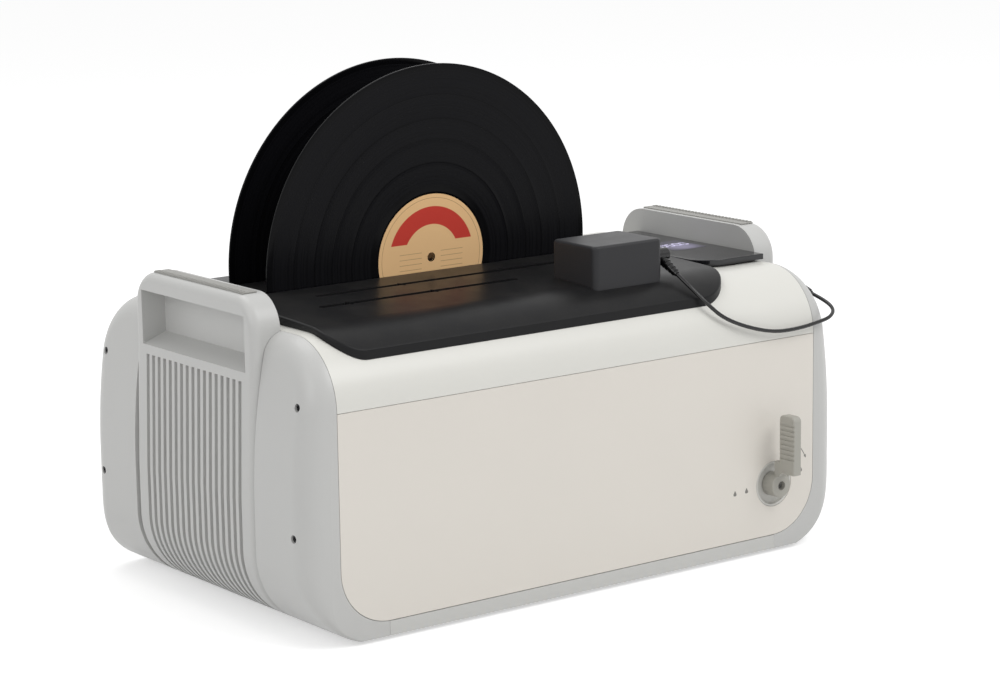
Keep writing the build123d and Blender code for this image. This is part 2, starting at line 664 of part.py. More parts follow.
# Lever: hub, valve stem, and an upright blade that a short neck holds out over the hub.
HUB_REAR_Y = -HALF_DEPTH + 3.0
HUB_FRONT_Y = -HALF_DEPTH - LEVER_HUB_PROUD
HUB_HOLE_R = 3.6
HUB_HOLE_DEPTH = 7.0
STEM_LENGTH = 16.0
NECK_REAR_Y = HUB_FRONT_Y + 4.0
NECK_TOP = VALVE_Z + 20.0
BLADE_REAR_Y = HUB_FRONT_Y - BLADE_STANDOFF
BLADE_FRONT_Y = BLADE_REAR_Y - LEVER_DEPTH
BLADE_BOTTOM = VALVE_Z + 11.5
FINGER_GROOVES = 8
FINGER_GROOVE_PITCH = 3.8
with BuildPart() as drain_lever:
    with BuildSketch(front_plane(HUB_REAR_Y)):
        with Locations((VALVE_X, VALVE_Z)):
            Circle(LEVER_HUB_R)
    extrude(amount=HUB_REAR_Y - HUB_FRONT_Y)
    fillet(drain_lever.faces().sort_by(Axis.Y)[0].edges(), 1.2)
    with BuildSketch(Plane.YZ.offset(VALVE_X)) as blade:
        with BuildLine():
            Polyline(
                (BLADE_FRONT_Y, BLADE_BOTTOM),
                (BLADE_FRONT_Y, LEVER_TOP),
                (BLADE_REAR_Y, LEVER_TOP),
                (BLADE_REAR_Y, NECK_TOP),
                (NECK_REAR_Y, NECK_TOP),
                (NECK_REAR_Y, VALVE_Z + 6),
                (HUB_FRONT_Y + 1.5, VALVE_Z + 6),
                (BLADE_REAR_Y - 3, BLADE_BOTTOM),
                close=True,
            )
        make_face()
        fillet(blade.vertices().group_by(Axis.Y)[-1], 4)
    extrude(amount=LEVER_WIDTH / 2, both=True)
    long_edges = [
        edge
        for edge in drain_lever.edges()
        if abs(edge.center().X - VALVE_X) > LEVER_WIDTH / 2 - 0.01
        and edge.center().Z > NECK_TOP + 1
    ]
    fillet(long_edges, 1.2)
    groove_bottom = NECK_TOP + 4
    for index in range(FINGER_GROOVES):
        groove_z = groove_bottom + index * FINGER_GROOVE_PITCH
        for side in (-1, 1):
            with Locations((VALVE_X + side * LEVER_WIDTH / 2, BLADE_FRONT_Y + LEVER_DEPTH / 2, groove_z)):
                Box(1.2, 2 * LEVER_DEPTH, 1.6, mode=Mode.SUBTRACT)
    with BuildSketch(front_plane(HUB_FRONT_Y)):
        with Locations((VALVE_X, VALVE_Z)):
            Circle(HUB_HOLE_R)
    extrude(amount=-HUB_HOLE_DEPTH, mode=Mode.SUBTRACT)
    with BuildSketch(front_plane(HUB_REAR_Y)):
        with Locations((VALVE_X, VALVE_Z)):
            Circle(SHAFT_R)
    extrude(amount=-STEM_LENGTH)
drain_lever.part.label = "drain_lever"
export_step(drain_lever.part, "parts/drain_lever.step")

with BuildPart() as lever_screw:
    with BuildSketch(front_plane(HUB_FRONT_Y + HUB_HOLE_DEPTH)):
        with Locations((VALVE_X, VALVE_Z)):
            Circle(HUB_HOLE_R - 0.3)
            RegularPolygon(1.8, 6, mode=Mode.SUBTRACT)
    extrude(amount=3)
lever_screw.part.label = "lever_screw"
export_step(lever_screw.part, "parts/lever_screw.step")

# ---------------------------------------------------------------- electrics in the right bay
TRAY_FLOOR_Z = FOOT_HEIGHT + WALL
BRACKET_X = BATH_RIGHT + 9.0
BRACKET_THICKNESS = 1.5
BOARD_X = BRACKET_X + BRACKET_THICKNESS + 4.0
BOARD_Y = 48.0
BOARD_Z = 118.0
BOARD_LENGTH = 112.0
BOARD_HEIGHT = 84.0
BOARD_THICKNESS = 1.6
STANDOFF_GRID = (BOARD_LENGTH - 10, BOARD_HEIGHT - 10, 2, 2)
with BuildPart() as board_bracket:
    with BuildSketch(Plane.YZ.offset(BRACKET_X)):
        with Locations((BOARD_Y, (TRAY_FLOOR_Z + BOARD_Z + BOARD_HEIGHT / 2) / 2)):
            Rectangle(BOARD_LENGTH, BOARD_Z + BOARD_HEIGHT / 2 - TRAY_FLOOR_Z)
        with Locations((BOARD_Y, BOARD_Z)):
            Rectangle(BOARD_LENGTH - 30, BOARD_HEIGHT - 24, mode=Mode.SUBTRACT)
    extrude(amount=BRACKET_THICKNESS)
    with BuildSketch(Plane.XY.offset(TRAY_FLOOR_Z)):
        with Locations((BRACKET_X + 12, BOARD_Y)):
            Rectangle(24, BOARD_LENGTH)
            with GridLocations(0, BOARD_LENGTH - 24, 1, 2):
                Circle(2, mode=Mode.SUBTRACT)
    extrude(amount=BRACKET_THICKNESS)
    with BuildSketch(Plane.YZ.offset(BRACKET_X + BRACKET_THICKNESS)):
        with Locations((BOARD_Y, BOARD_Z)):
            with GridLocations(*STANDOFF_GRID):
                Circle(3)
    extrude(amount=BOARD_X - BRACKET_X - BRACKET_THICKNESS)
board_bracket.part.label = "board_bracket"
export_step(board_bracket.part, "parts/board_bracket.step")

# Board with its capacitors, a finned heat sink and a row of terminals.
with BuildPart() as generator_board:
    with BuildSketch(Plane.YZ.offset(BOARD_X)):
        with Locations((BOARD_Y, BOARD_Z)):
            Rectangle(BOARD_LENGTH, BOARD_HEIGHT)
    extrude(amount=BOARD_THICKNESS)
    with BuildSketch(Plane.YZ.offset(BOARD_X + BOARD_THICKNESS)):
        with Locations((BOARD_Y - 38, BOARD_Z - 18)):
            with GridLocations(20, 24, 2, 2):
                Circle(8)
    extrude(amount=22)
    with BuildSketch(Plane.YZ.offset(BOARD_X + BOARD_THICKNESS)) as heat_sink:
        with Locations((BOARD_Y + 24, BOARD_Z)):
            Rectangle(42, 50)
        with Locations((BOARD_Y - 30, BOARD_Z + 32)):
            Rectangle(34, 12)
    extrude(amount=3)
    with BuildSketch(Plane.YZ.offset(BOARD_X + BOARD_THICKNESS + 3)):
        with Locations((BOARD_Y + 24, BOARD_Z)):
            with GridLocations(7, 0, 6, 1):
                Rectangle(2.4, 50)
    extrude(amount=15)
generator_board.part.label = "generator_board"
export_step(generator_board.part, "parts/generator_board.step")

TRANSFORMER_X = 157.0
TRANSFORMER_Y = -42.0
CORE_WIDTH = 58.0
CORE_HEIGHT = 46.0
CORE_STACK = 24.0
COIL_LENGTH = 36.0
with BuildPart() as transformer:
    with BuildSketch(Plane.YZ.offset(TRANSFORMER_X)):
        with Locations((TRANSFORMER_Y, TRAY_FLOOR_Z + CORE_HEIGHT / 2)):
            Rectangle(CORE_WIDTH, CORE_HEIGHT)
            with GridLocations(CORE_WIDTH / 2, 0, 2, 1):
                Rectangle(CORE_WIDTH / 5, CORE_HEIGHT / 2, mode=Mode.SUBTRACT)
    extrude(amount=CORE_STACK / 2, both=True)
    with BuildSketch(Plane.YZ.offset(TRANSFORMER_X)):
        with Locations((TRANSFORMER_Y, TRAY_FLOOR_Z + CORE_HEIGHT / 2)):
            RectangleRounded(0.68 * CORE_WIDTH, CORE_HEIGHT / 2 - 0.6, 5)
    extrude(amount=COIL_LENGTH / 2, both=True)
transformer.part.label = "transformer"
export_step(transformer.part, "parts/transformer.step")

FAN_REAR_Y = HALF_DEPTH - WALL
FAN_DEPTH = 15.0
FAN_SPIDER = 2.5
FAN_PIN_R = 1.5
FAN_PIN_LENGTH = 7.0
with BuildPart() as fan_frame:
    with BuildSketch(front_plane(FAN_REAR_Y)):
        with Locations((FAN_X, FAN_Z)):
            RectangleRounded(FAN_FRAME, FAN_FRAME, 4)
            Circle(28.4, mode=Mode.SUBTRACT)
            with GridLocations(50, 50, 2, 2):
                Circle(2.1, mode=Mode.SUBTRACT)
    extrude(amount=FAN_DEPTH)
    with BuildSketch(front_plane(FAN_REAR_Y)):
        with Locations((FAN_X, FAN_Z)):
            Circle(13)
            with PolarLocations(20, 3):
                Rectangle(18, 3)
    extrude(amount=FAN_SPIDER)
    with BuildSketch(front_plane(FAN_REAR_Y - FAN_SPIDER)):
        with Locations((FAN_X, FAN_Z)):
            Circle(FAN_PIN_R)
    extrude(amount=FAN_PIN_LENGTH)
fan_frame.part.label = "fan_frame"
export_step(fan_frame.part, "parts/fan_frame.step")

with BuildPart() as fan_impeller:
    with BuildSketch(front_plane(FAN_REAR_Y - 3.2)):
        with Locations((FAN_X, FAN_Z)):
            Circle(13)
    extrude(amount=10.5)
    with BuildSketch(front_plane(FAN_REAR_Y - FAN_SPIDER)):
        with Locations((FAN_X, FAN_Z)):
            Circle(FAN_PIN_R + SHAFT_RUNNING_CLEARANCE)
    extrude(amount=FAN_PIN_LENGTH + 0.5, mode=Mode.SUBTRACT)
    for blade in range(7):
        angle = blade * 360 / 7
        stalk = Plane(
            origin=(FAN_X, FAN_REAR_Y - 8.4, FAN_Z),
            x_dir=(0, 1, 0),
            z_dir=(math.cos(math.radians(angle)), 0, math.sin(math.radians(angle))),
        )
        with BuildSketch(stalk.offset(10)):
            SlotOverall(10, 1.4, rotation=38)
        extrude(amount=17.4)
fan_impeller.part.label = "fan_impeller"
export_step(fan_impeller.part, "parts/fan_impeller.step")

INLET_RIM = 2.0
MOUTH_DEPTH = 17.0
MOUTH_CHAMFER = 4.0
PIN_LENGTH = 11.0
with BuildPart() as mains_inlet:
    with BuildSketch(front_plane(HALF_DEPTH + INLET_RIM)):
        with Locations((INLET_X, INLET_Z)):
            RectangleRounded(32, 24, 2.5)
    extrude(amount=INLET_RIM)
    with BuildSketch(front_plane(HALF_DEPTH)):
        with Locations((INLET_X, INLET_Z)):
            Rectangle(27.4, 19.4)
    extrude(amount=24)
    with BuildSketch(front_plane(HALF_DEPTH + INLET_RIM)) as mouth:
        with Locations((INLET_X, INLET_Z)):
            Rectangle(24, 16)
        chamfer(mouth.vertices().group_by(Axis.Y)[-1], MOUTH_CHAMFER)
    extrude(amount=MOUTH_DEPTH, mode=Mode.SUBTRACT)
    # Earth pin on the middle line, live and neutral either side below it.
    with BuildSketch(front_plane(HALF_DEPTH + INLET_RIM - MOUTH_DEPTH)):
        with Locations((INLET_X, INLET_Z)):
            with Locations((0, 2.5), (-7, -1.5), (7, -1.5)):
                Rectangle(2, 4.5)
    extrude(amount=-PIN_LENGTH)
mains_inlet.part.label = "mains_inlet"
export_step(mains_inlet.part, "parts/mains_inlet.step")

BEZEL_RIM = 1.5
BEZEL_MOUTH = (16.4, 10.4)
BEZEL_BODY = (19.4, 13.4)
ROCKER_PIVOT_Y = HALF_DEPTH - 3.0
ROCKER_PIN_R = 1.0
with BuildPart() as switch_bezel:
    with BuildSketch(front_plane(HALF_DEPTH + BEZEL_RIM)):
        with Locations((SWITCH_X, INLET_Z)):
            RectangleRounded(23, 17, 1.5)
            Rectangle(*BEZEL_MOUTH, mode=Mode.SUBTRACT)
    extrude(amount=BEZEL_RIM)
    with BuildSketch(front_plane(HALF_DEPTH)):
        with Locations((SWITCH_X, INLET_Z)):
            Rectangle(*BEZEL_BODY)
            Rectangle(*BEZEL_MOUTH, mode=Mode.SUBTRACT)
    extrude(amount=12)
    with BuildSketch(front_plane(HALF_DEPTH - 12)):
        with Locations((SWITCH_X, INLET_Z)):
            Rectangle(*BEZEL_BODY)
    extrude(amount=1.8)
    with BuildSketch(Plane.YZ.offset(SWITCH_X)):
        with Locations((ROCKER_PIVOT_Y, INLET_Z)):
            Circle(ROCKER_PIN_R + SHAFT_RUNNING_CLEARANCE)
    extrude(amount=BEZEL_BODY[0] / 2, both=True, mode=Mode.SUBTRACT)
switch_bezel.part.label = "switch_bezel"
export_step(switch_bezel.part, "parts/switch_bezel.step")

# The rocker tips about an X axis on two small pins. At rest its upper half is pressed in.
ROCKER_TILT = 8.0
ROCKER_CORNER = (4.22, 4.4)
rocker_plane = Plane(
    origin=(SWITCH_X, ROCKER_PIVOT_Y, INLET_Z),
    x_dir=(0, math.cos(math.radians(ROCKER_TILT)), math.sin(math.radians(ROCKER_TILT))),
    z_dir=(1, 0, 0),
)
with BuildPart() as power_rocker:
    with BuildSketch(rocker_plane):
        with BuildLine():
            Polyline(
                ROCKER_CORNER,
                (ROCKER_CORNER[0] - 0.62, 0),
                (ROCKER_CORNER[0], -ROCKER_CORNER[1]),
                (-1.5, -ROCKER_CORNER[1]),
                (-3, 0),
                (-1.5, ROCKER_CORNER[1]),
                close=True,
            )
        make_face()
    extrude(amount=BEZEL_MOUTH[0] / 2 - 0.4, both=True)
    with BuildSketch(rocker_plane):
        Circle(ROCKER_PIN_R)
    extrude(amount=BEZEL_BODY[0] / 2 - 0.4, both=True)
power_rocker.part.label = "power_rocker"
export_step(power_rocker.part, "parts/power_rocker.step")

# ---------------------------------------------------------------- control panel
with BuildPart() as control_panel:
    with BuildSketch(Plane.XY.offset(PANEL_TOP - PANEL_THICKNESS)) as slab:
        with Locations(((PANEL_LEFT_X + PANEL_RIGHT_X) / 2, (PANEL_FRONT_Y + PANEL_REAR_Y) / 2)):
            Rectangle(PANEL_RIGHT_X - PANEL_LEFT_X, PANEL_REAR_Y - PANEL_FRONT_Y)
        fillet(slab.vertices().group_by(Axis.X)[0], PANEL_BOW_R)
    extrude(amount=PANEL_THICKNESS)
    fillet(control_panel.faces().sort_by(Axis.Z)[-1].edges(), 0.6)
    # Plinth that holds it just clear of the cover.
    with BuildSketch(Plane.XY.offset(COVER_TOP)) as plinth:
        offset(slab.sketch, amount=-5)
    extrude(amount=PANEL_TOP - PANEL_THICKNESS - COVER_TOP)
    with BuildSketch(Plane.XY.offset(PANEL_TOP)):
        with Locations((198, -18)):
            RectangleRounded(34.4, 40.4, 2.2)
    extrude(amount=-0.8, mode=Mode.SUBTRACT)
control_panel.part.label = "control_panel"
export_step(control_panel.part, "parts/control_panel.step")

with BuildPart() as display_window:
    with BuildSketch(Plane.XY.offset(PANEL_TOP - 0.8)):
        with Locations((198, -18)):
            RectangleRounded(34, 40, 2)
    extrude(amount=0.85)
display_window.part.label = "display_window"
export_step(display_window.part, "parts/display_window.step")

# Low-voltage socket in the front cheek of the right cap.
SOCKET_FACE_X = end_x(SOCKET_Z) + 2.4
with BuildPart() as lead_socket:
    with BuildSketch(Plane.YZ.offset(end_x(SOCKET_Z) - 12)):
        with Locations((SOCKET_Y, SOCKET_Z)):
            Circle(SOCKET_R)
    extrude(amount=SOCKET_FACE_X - end_x(SOCKET_Z) + 12)
    fillet(lead_socket.faces().sort_by(Axis.X)[-1].edges(), 0.8)
lead_socket.part.label = "lead_socket"
export_step(lead_socket.part, "parts/lead_socket.step")

# ---------------------------------------------------------------- lift-off deck
CROWN_RISE = DECK_TOP - SHOULDER_Z
CROWN_R = (SHOULDER_Y**2 + CROWN_RISE**2 - DECK_R**2) / (2 * (CROWN_RISE - DECK_R))
CROWN_ANGLE = math.degrees(math.atan2(SHOULDER_Y, CROWN_R - CROWN_RISE))
DECK_X = (DECK_LEFT + DECK_RIGHT) / 2
DECK_LENGTH = DECK_RIGHT - DECK_LEFT


def lean_y(record_y, lean, z):
    """Depth of a leaning record's plane at height z."""
    return record_y + (RECORD_Z - z) * math.tan(math.radians(lean))


def deck_section(under_r):
    """Cross-section between the deck's outside and an inside of shoulder radius under_r."""
    outer_r = DECK_R
    with BuildSketch(Plane.YZ) as section:
        with BuildLine():
            CenterArc((0, DECK_TOP - CROWN_R), CROWN_R, 90 - CROWN_ANGLE, 2 * CROWN_ANGLE)
            CenterArc((SHOULDER_Y, SHOULDER_Z), outer_r, 0, 90 - CROWN_ANGLE)
            CenterArc((-SHOULDER_Y, SHOULDER_Z), outer_r, 90 + CROWN_ANGLE, 90 - CROWN_ANGLE)
            Line((SHOULDER_Y + outer_r, SHOULDER_Z), (SHOULDER_Y + under_r, SHOULDER_Z))
            CenterArc((SHOULDER_Y, SHOULDER_Z), under_r, 0, 90)
            Line((SHOULDER_Y, SHOULDER_Z + under_r), (-SHOULDER_Y, SHOULDER_Z + under_r))
            CenterArc((-SHOULDER_Y, SHOULDER_Z), under_r, 90, 90)
            Line((-SHOULDER_Y - under_r, SHOULDER_Z), (-SHOULDER_Y - outer_r, SHOULDER_Z))
        make_face()
    return section.sketch


def on_deck_rim(edge):
    """True for the edges round the outside of the deck, which are eased."""
    spot = edge.center()
    from_axis = math.hypot(max(abs(spot.Y) - SHOULDER_Y, 0), spot.Z - SHOULDER_Z)
    at_the_end = abs(spot.X - DECK_X) > DECK_LENGTH / 2 - DECK_RIGHT_CORNER_R
    at_the_front = abs(spot.Y) > DECK_HALF_DEPTH - 1
    return (at_the_end or at_the_front) and from_axis > DECK_R - 0.5 and not (
        edge.geom_type == GeomType.LINE and abs(spot.X - DECK_X) < 1 and abs(spot.Y) < SHOULDER_Y + 10
    )


UNDER_R = SHOULDER_R + DECK_CLEARANCE
COLLAR_BOTTOM = 213.0
COLLAR_WALL = 3.0
TWELVE_INCH_SLOT = 308.0
TEN_INCH_SLOT = 261.0
TEN_INCH_Y = -23.0
SEVEN_INCH_SLOT = 181.0
SEVEN_INCH_X = -85.5
SEVEN_INCH_Y = -59.0
BELT_HOLE = (32.0, 12.0)
BELT_HOLE_X = 74.0
FRONT_SLOT_Y = lean_y(FRONT_RECORD_Y, FRONT_LEAN, COVER_TOP + DECK_THICKNESS)
REAR_SLOT_Y = lean_y(REAR_RECORD_Y, REAR_LEAN, COVER_TOP + DECK_THICKNESS)
SLOTS = (
    (RECORD_X, FRONT_SLOT_Y, TWELVE_INCH_SLOT),
    (RECORD_X, REAR_SLOT_Y, TWELVE_INCH_SLOT),
    (RECORD_X, TEN_INCH_Y, TEN_INCH_SLOT),
    (SEVEN_INCH_X, SEVEN_INCH_Y, SEVEN_INCH_SLOT),
)
# Finger notches beside the two slots for small records.
NOTCHES = ((-78.0, TEN_INCH_Y), (-73.0, SEVEN_INCH_Y), (-150.0, SEVEN_INCH_Y))
with BuildPart() as lid_deck:
    add(deck_section(UNDER_R).moved(Location((DECK_LEFT, 0, 0))))
    extrude(amount=DECK_LENGTH, dir=(1, 0, 0))
    with BuildSketch(Plane.XY.offset(SHOULDER_Z)) as plan:
        with Locations((DECK_X, 0)):
            Rectangle(DECK_LENGTH, 2 * DECK_HALF_DEPTH)
        fillet(plan.vertices().group_by(Axis.X)[0], DECK_LEFT_CORNER_R)
        fillet(plan.vertices().group_by(Axis.X)[-1], DECK_RIGHT_CORNER_R)
    extrude(amount=2 * DECK_R, mode=Mode.INTERSECT)
    fillet([edge for edge in lid_deck.edges() if on_deck_rim(edge)], 1.6)
    # Collar that drops into the bath opening.
    with BuildSketch(Plane.XY.offset(COLLAR_BOTTOM)):
        with Locations((BATH_X, 0)):
            RectangleRounded(BATH_LENGTH - 4, 2 * BATH_HALF_DEPTH - 4, BATH_CORNER_R - 2)
            RectangleRounded(
                BATH_LENGTH - 4 - 2 * COLLAR_WALL,
                2 * BATH_HALF_DEPTH - 4 - 2 * COLLAR_WALL,
                BATH_CORNER_R - 2 - COLLAR_WALL,
                mode=Mode.SUBTRACT,
            )
    extrude(amount=COVER_TOP + DECK_CLEARANCE - COLLAR_BOTTOM)
    with BuildSketch(Plane.XY.offset(DECK_TOP + 1)):
        for slot_x, slot_y, slot_length in SLOTS:
            with Locations((slot_x, slot_y)):
                SlotOverall(slot_length, SLOT_WIDTH)
        with Locations(*NOTCHES):
            RegularPolygon(SLOT_WIDTH * 0.85, 4)
        with Locations((BELT_HOLE_X, BELT_Y)):
            Rectangle(*BELT_HOLE)
    extrude(amount=-2 * DECK_THICKNESS, mode=Mode.SUBTRACT)
lid_deck.part.label = "lid_deck"
export_step(lid_deck.part, "parts/lid_deck.step")

# ---------------------------------------------------------------- shafts and rollers
HANGER_TOP = COVER_TOP + DECK_CLEARANCE
HANGER_BOSS_R = 9.0
HANGER_ROOT_WIDTH = 20.0
HANGER_ROOT_HEIGHT = 4.0
HANGER_ROOT_DX = 1.0
TIE_R = 3.0
TIE_EYE_R = 4.5
TIE_DX = 9.5
TIE_Z = 178.0


def hanger(shaft_x, outward):
    """Pair of legs under the deck, joined by a tie bar on the side away from the records."""
    with BuildSketch(Plane.XZ) as leg:
        with Locations((shaft_x, SHAFT_Z)):
            Circle(HANGER_BOSS_R)
        with Locations((shaft_x + outward * HANGER_ROOT_DX, HANGER_TOP - HANGER_ROOT_HEIGHT / 2)):
            Rectangle(HANGER_ROOT_WIDTH, HANGER_ROOT_HEIGHT)
        with Locations((shaft_x + outward * TIE_DX, TIE_Z)):
            Circle(TIE_EYE_R)
        make_hull()
        with Locations((shaft_x, SHAFT_Z)):
            Circle(SHAFT_R + SHAFT_RUNNING_CLEARANCE, mode=Mode.SUBTRACT)
    with BuildPart() as legs:
        for side in (-1, 1):
            middle = leg.sketch.moved(Location((0, side * HANGER_Y, 0)))
            extrude(middle, amount=HANGER_THICKNESS / 2, both=True)
        with BuildSketch(front_plane(HANGER_Y)):
            with Locations((shaft_x + outward * TIE_DX, TIE_Z)):
                Circle(TIE_R)
        extrude(amount=2 * HANGER_Y)
    return legs.part


def cross_shaft(shaft_x):
    """Ground rod that turns in a hanger's two bores."""
    with BuildPart() as rod:
        with BuildSketch(front_plane(SHAFT_HALF_LENGTH)):
            with Locations((shaft_x, SHAFT_Z)):
                Circle(SHAFT_R)
        extrude(amount=2 * SHAFT_HALF_LENGTH)
        chamfer(rod.edges().filter_by(GeomType.CIRCLE), 0.5)
    return rod.part


def grooved_rollers(shaft_x):
    """Two rubber rollers, each with a groove for a record's edge."""
    flange = ROLLER_WIDTH / 2
    with BuildPart() as pair:
        for record_y, lean in ((FRONT_RECORD_Y, FRONT_LEAN), (REAR_RECORD_Y, REAR_LEAN)):
            middle_y = lean_y(record_y, lean, RECORD_Z - RECORD_R * math.cos(math.radians(ROLLER_ANGLE)))
            with BuildSketch(Plane(origin=(shaft_x, middle_y, SHAFT_Z))):
                with BuildLine():
                    Polyline(
                        (SHAFT_R, -flange),
                        (ROLLER_FLANGE_R - 1, -flange),
                        (ROLLER_FLANGE_R, -flange + 1),
                        (ROLLER_FLANGE_R, -3.5),
                        (ROLLER_GROOVE_R, -2),
                        (ROLLER_GROOVE_R, 2),
                        (ROLLER_FLANGE_R, 3.5),
                        (ROLLER_FLANGE_R, flange - 1),
                        (ROLLER_FLANGE_R - 1, flange),
                        (SHAFT_R, flange),
                        close=True,
                    )
                make_face()
            revolve(axis=Axis((shaft_x, 0, SHAFT_Z), (0, 1, 0)))
    return pair.part


with BuildPart() as drive_hanger:
    add(hanger(DRIVE_X, 1))
drive_hanger.part.label = "drive_hanger"
export_step(drive_hanger.part, "parts/drive_hanger.step")

with BuildPart() as idler_hanger:
    add(hanger(IDLER_X, -1))
idler_hanger.part.label = "idler_hanger"
export_step(idler_hanger.part, "parts/idler_hanger.step")

with BuildPart() as drive_shaft:
    add(cross_shaft(DRIVE_X))
drive_shaft.part.label = "drive_shaft"
export_step(drive_shaft.part, "parts/drive_shaft.step")

with BuildPart() as idler_shaft:
    add(cross_shaft(IDLER_X))
idler_shaft.part.label = "idler_shaft"
export_step(idler_shaft.part, "parts/idler_shaft.step")

with BuildPart() as drive_rollers:
    add(grooved_rollers(DRIVE_X))
drive_rollers.part.label = "drive_rollers"
export_step(drive_rollers.part, "parts/drive_rollers.step")

with BuildPart() as idler_rollers:
    add(grooved_rollers(IDLER_X))
idler_rollers.part.label = "idler_rollers"
export_step(idler_rollers.part, "parts/idler_rollers.step")

# ---------------------------------------------------------------- motor, pulleys and belt
PULLEY_HALF_WIDTH = BELT_WIDTH / 2 + BELT_GAP
PULLEY_RIM = 1.0
PULLEY_RIM_R = PULLEY_R + 2.2
MOTOR_FRONT_Y = -89.0
MOTOR_REAR_Y = -116.0
MOTOR_SHAFT_R = 1.5


def belt_pulley(x, z, bore_r):
    """Flanged pulley for the flat belt."""
    outside = PULLEY_HALF_WIDTH + PULLEY_RIM
    with BuildPart() as pulley:
        with BuildSketch(Plane(origin=(x, BELT_Y, z))):
            with BuildLine():
                Polyline(
                    (bore_r, -outside),
                    (PULLEY_RIM_R, -outside),
                    (PULLEY_RIM_R, -PULLEY_HALF_WIDTH),
                    (PULLEY_R, -PULLEY_HALF_WIDTH),
                    (PULLEY_R, PULLEY_HALF_WIDTH),
                    (PULLEY_RIM_R, PULLEY_HALF_WIDTH),
                    (PULLEY_RIM_R, outside),
                    (bore_r, outside),
                    close=True,
                )
            make_face()
        revolve(axis=Axis((x, 0, z), (0, 1, 0)))
    return pulley.part


with BuildPart() as shaft_pulley:
    add(belt_pulley(DRIVE_X, SHAFT_Z, SHAFT_R))
shaft_pulley.part.label = "shaft_pulley"
export_step(shaft_pulley.part, "parts/shaft_pulley.step")

with BuildPart() as motor_pulley:
    add(belt_pulley(MOTOR_X, MOTOR_Z, MOTOR_SHAFT_R))
    with BuildSketch(front_plane(BELT_Y + PULLEY_HALF_WIDTH)):
        with Locations((MOTOR_X, MOTOR_Z)):
            Circle(MOTOR_SHAFT_R)
    extrude(amount=BELT_Y + PULLEY_HALF_WIDTH - MOTOR_FRONT_Y + 7)
motor_pulley.part.label = "motor_pulley"
export_step(motor_pulley.part, "parts/motor_pulley.step")

BELT_INNER_R = PULLEY_R + BELT_GAP
BELT_SPAN = math.hypot(DRIVE_X - MOTOR_X, SHAFT_Z - MOTOR_Z)
BELT_ANGLE = math.degrees(math.atan2(SHAFT_Z - MOTOR_Z, DRIVE_X - MOTOR_X))
with BuildPart() as drive_belt:
    with BuildSketch(front_plane(BELT_Y + BELT_WIDTH / 2)):
        with Locations(((MOTOR_X + DRIVE_X) / 2, (MOTOR_Z + SHAFT_Z) / 2)):
            SlotCenterToCenter(BELT_SPAN, 2 * (BELT_INNER_R + BELT_THICKNESS), rotation=BELT_ANGLE)
            SlotCenterToCenter(BELT_SPAN, 2 * BELT_INNER_R, rotation=BELT_ANGLE, mode=Mode.SUBTRACT)
    extrude(amount=BELT_WIDTH)
drive_belt.part.label = "drive_belt"
export_step(drive_belt.part, "parts/drive_belt.step")

with BuildPart() as gear_motor:
    with BuildSketch(front_plane(MOTOR_FRONT_Y)):
        with Locations((MOTOR_X, MOTOR_Z)):
            Circle(MOTOR_R)
            Circle(MOTOR_SHAFT_R + SHAFT_RUNNING_CLEARANCE, mode=Mode.SUBTRACT)
    extrude(amount=MOTOR_FRONT_Y - MOTOR_REAR_Y)
    # Saddle that holds the motor down on the deck.
    with BuildSketch(front_plane(MOTOR_FRONT_Y - 4)):
        with Locations((MOTOR_X, (MOTOR_Z + DECK_TOP) / 2 - 3)):
            Rectangle(2 * MOTOR_R, MOTOR_Z - DECK_TOP + 6)
        with Locations((MOTOR_X, MOTOR_Z)):
            Circle(MOTOR_R, mode=Mode.SUBTRACT)
    extrude(amount=16)
    split(bisect_by=Plane.XY.offset(COVER_TOP), keep=Keep.TOP)
    add(lid_deck.part, mode=Mode.SUBTRACT)
gear_motor.part.label = "gear_motor"
export_step(gear_motor.part, "parts/gear_motor.step")

BOX_X = (BOX_LEFT + BOX_RIGHT) / 2
BOX_Y = (BOX_FRONT + BOX_BACK) / 2
BOX_LENGTH = BOX_RIGHT - BOX_LEFT
BOX_DEPTH = BOX_BACK - BOX_FRONT
BOX_CORNER_R = 4.5
LEAD_SOCKET_Y = -109.5
LEAD_BARREL_R = 4.4
with BuildPart() as deck_blank:
    add(deck_section(1).moved(Location((DECK_LEFT, 0, 0))))
    extrude(amount=DECK_LENGTH, dir=(1, 0, 0))
with BuildPart() as motor_housing:
    with BuildSketch(Plane.XY.offset(COVER_TOP)):
        with Locations((BOX_X, BOX_Y)):
            RectangleRounded(BOX_LENGTH, BOX_DEPTH, BOX_CORNER_R)
    extrude(amount=BOX_TOP - COVER_TOP)
    fillet(motor_housing.faces().sort_by(Axis.Z)[-1].edges(), 2.5)
    with BuildSketch(Plane.XY.offset(COVER_TOP)):
        with Locations((BOX_X, BOX_Y)):
            RectangleRounded(BOX_LENGTH - 2 * BOX_WALL, BOX_DEPTH - 2 * BOX_WALL, BOX_CORNER_R - BOX_WALL)
    extrude(amount=BOX_TOP - BOX_WALL - COVER_TOP, mode=Mode.SUBTRACT)
    with BuildSketch(Plane.YZ.offset(BOX_RIGHT - 2 * BOX_WALL)):
        with Locations((LEAD_SOCKET_Y, MOTOR_Z)):
            Circle(LEAD_BARREL_R)
    extrude(amount=3 * BOX_WALL, mode=Mode.SUBTRACT)
    add(deck_blank.part, mode=Mode.SUBTRACT)
motor_housing.part.label = "motor_housing"
export_step(motor_housing.part, "parts/motor_housing.step")

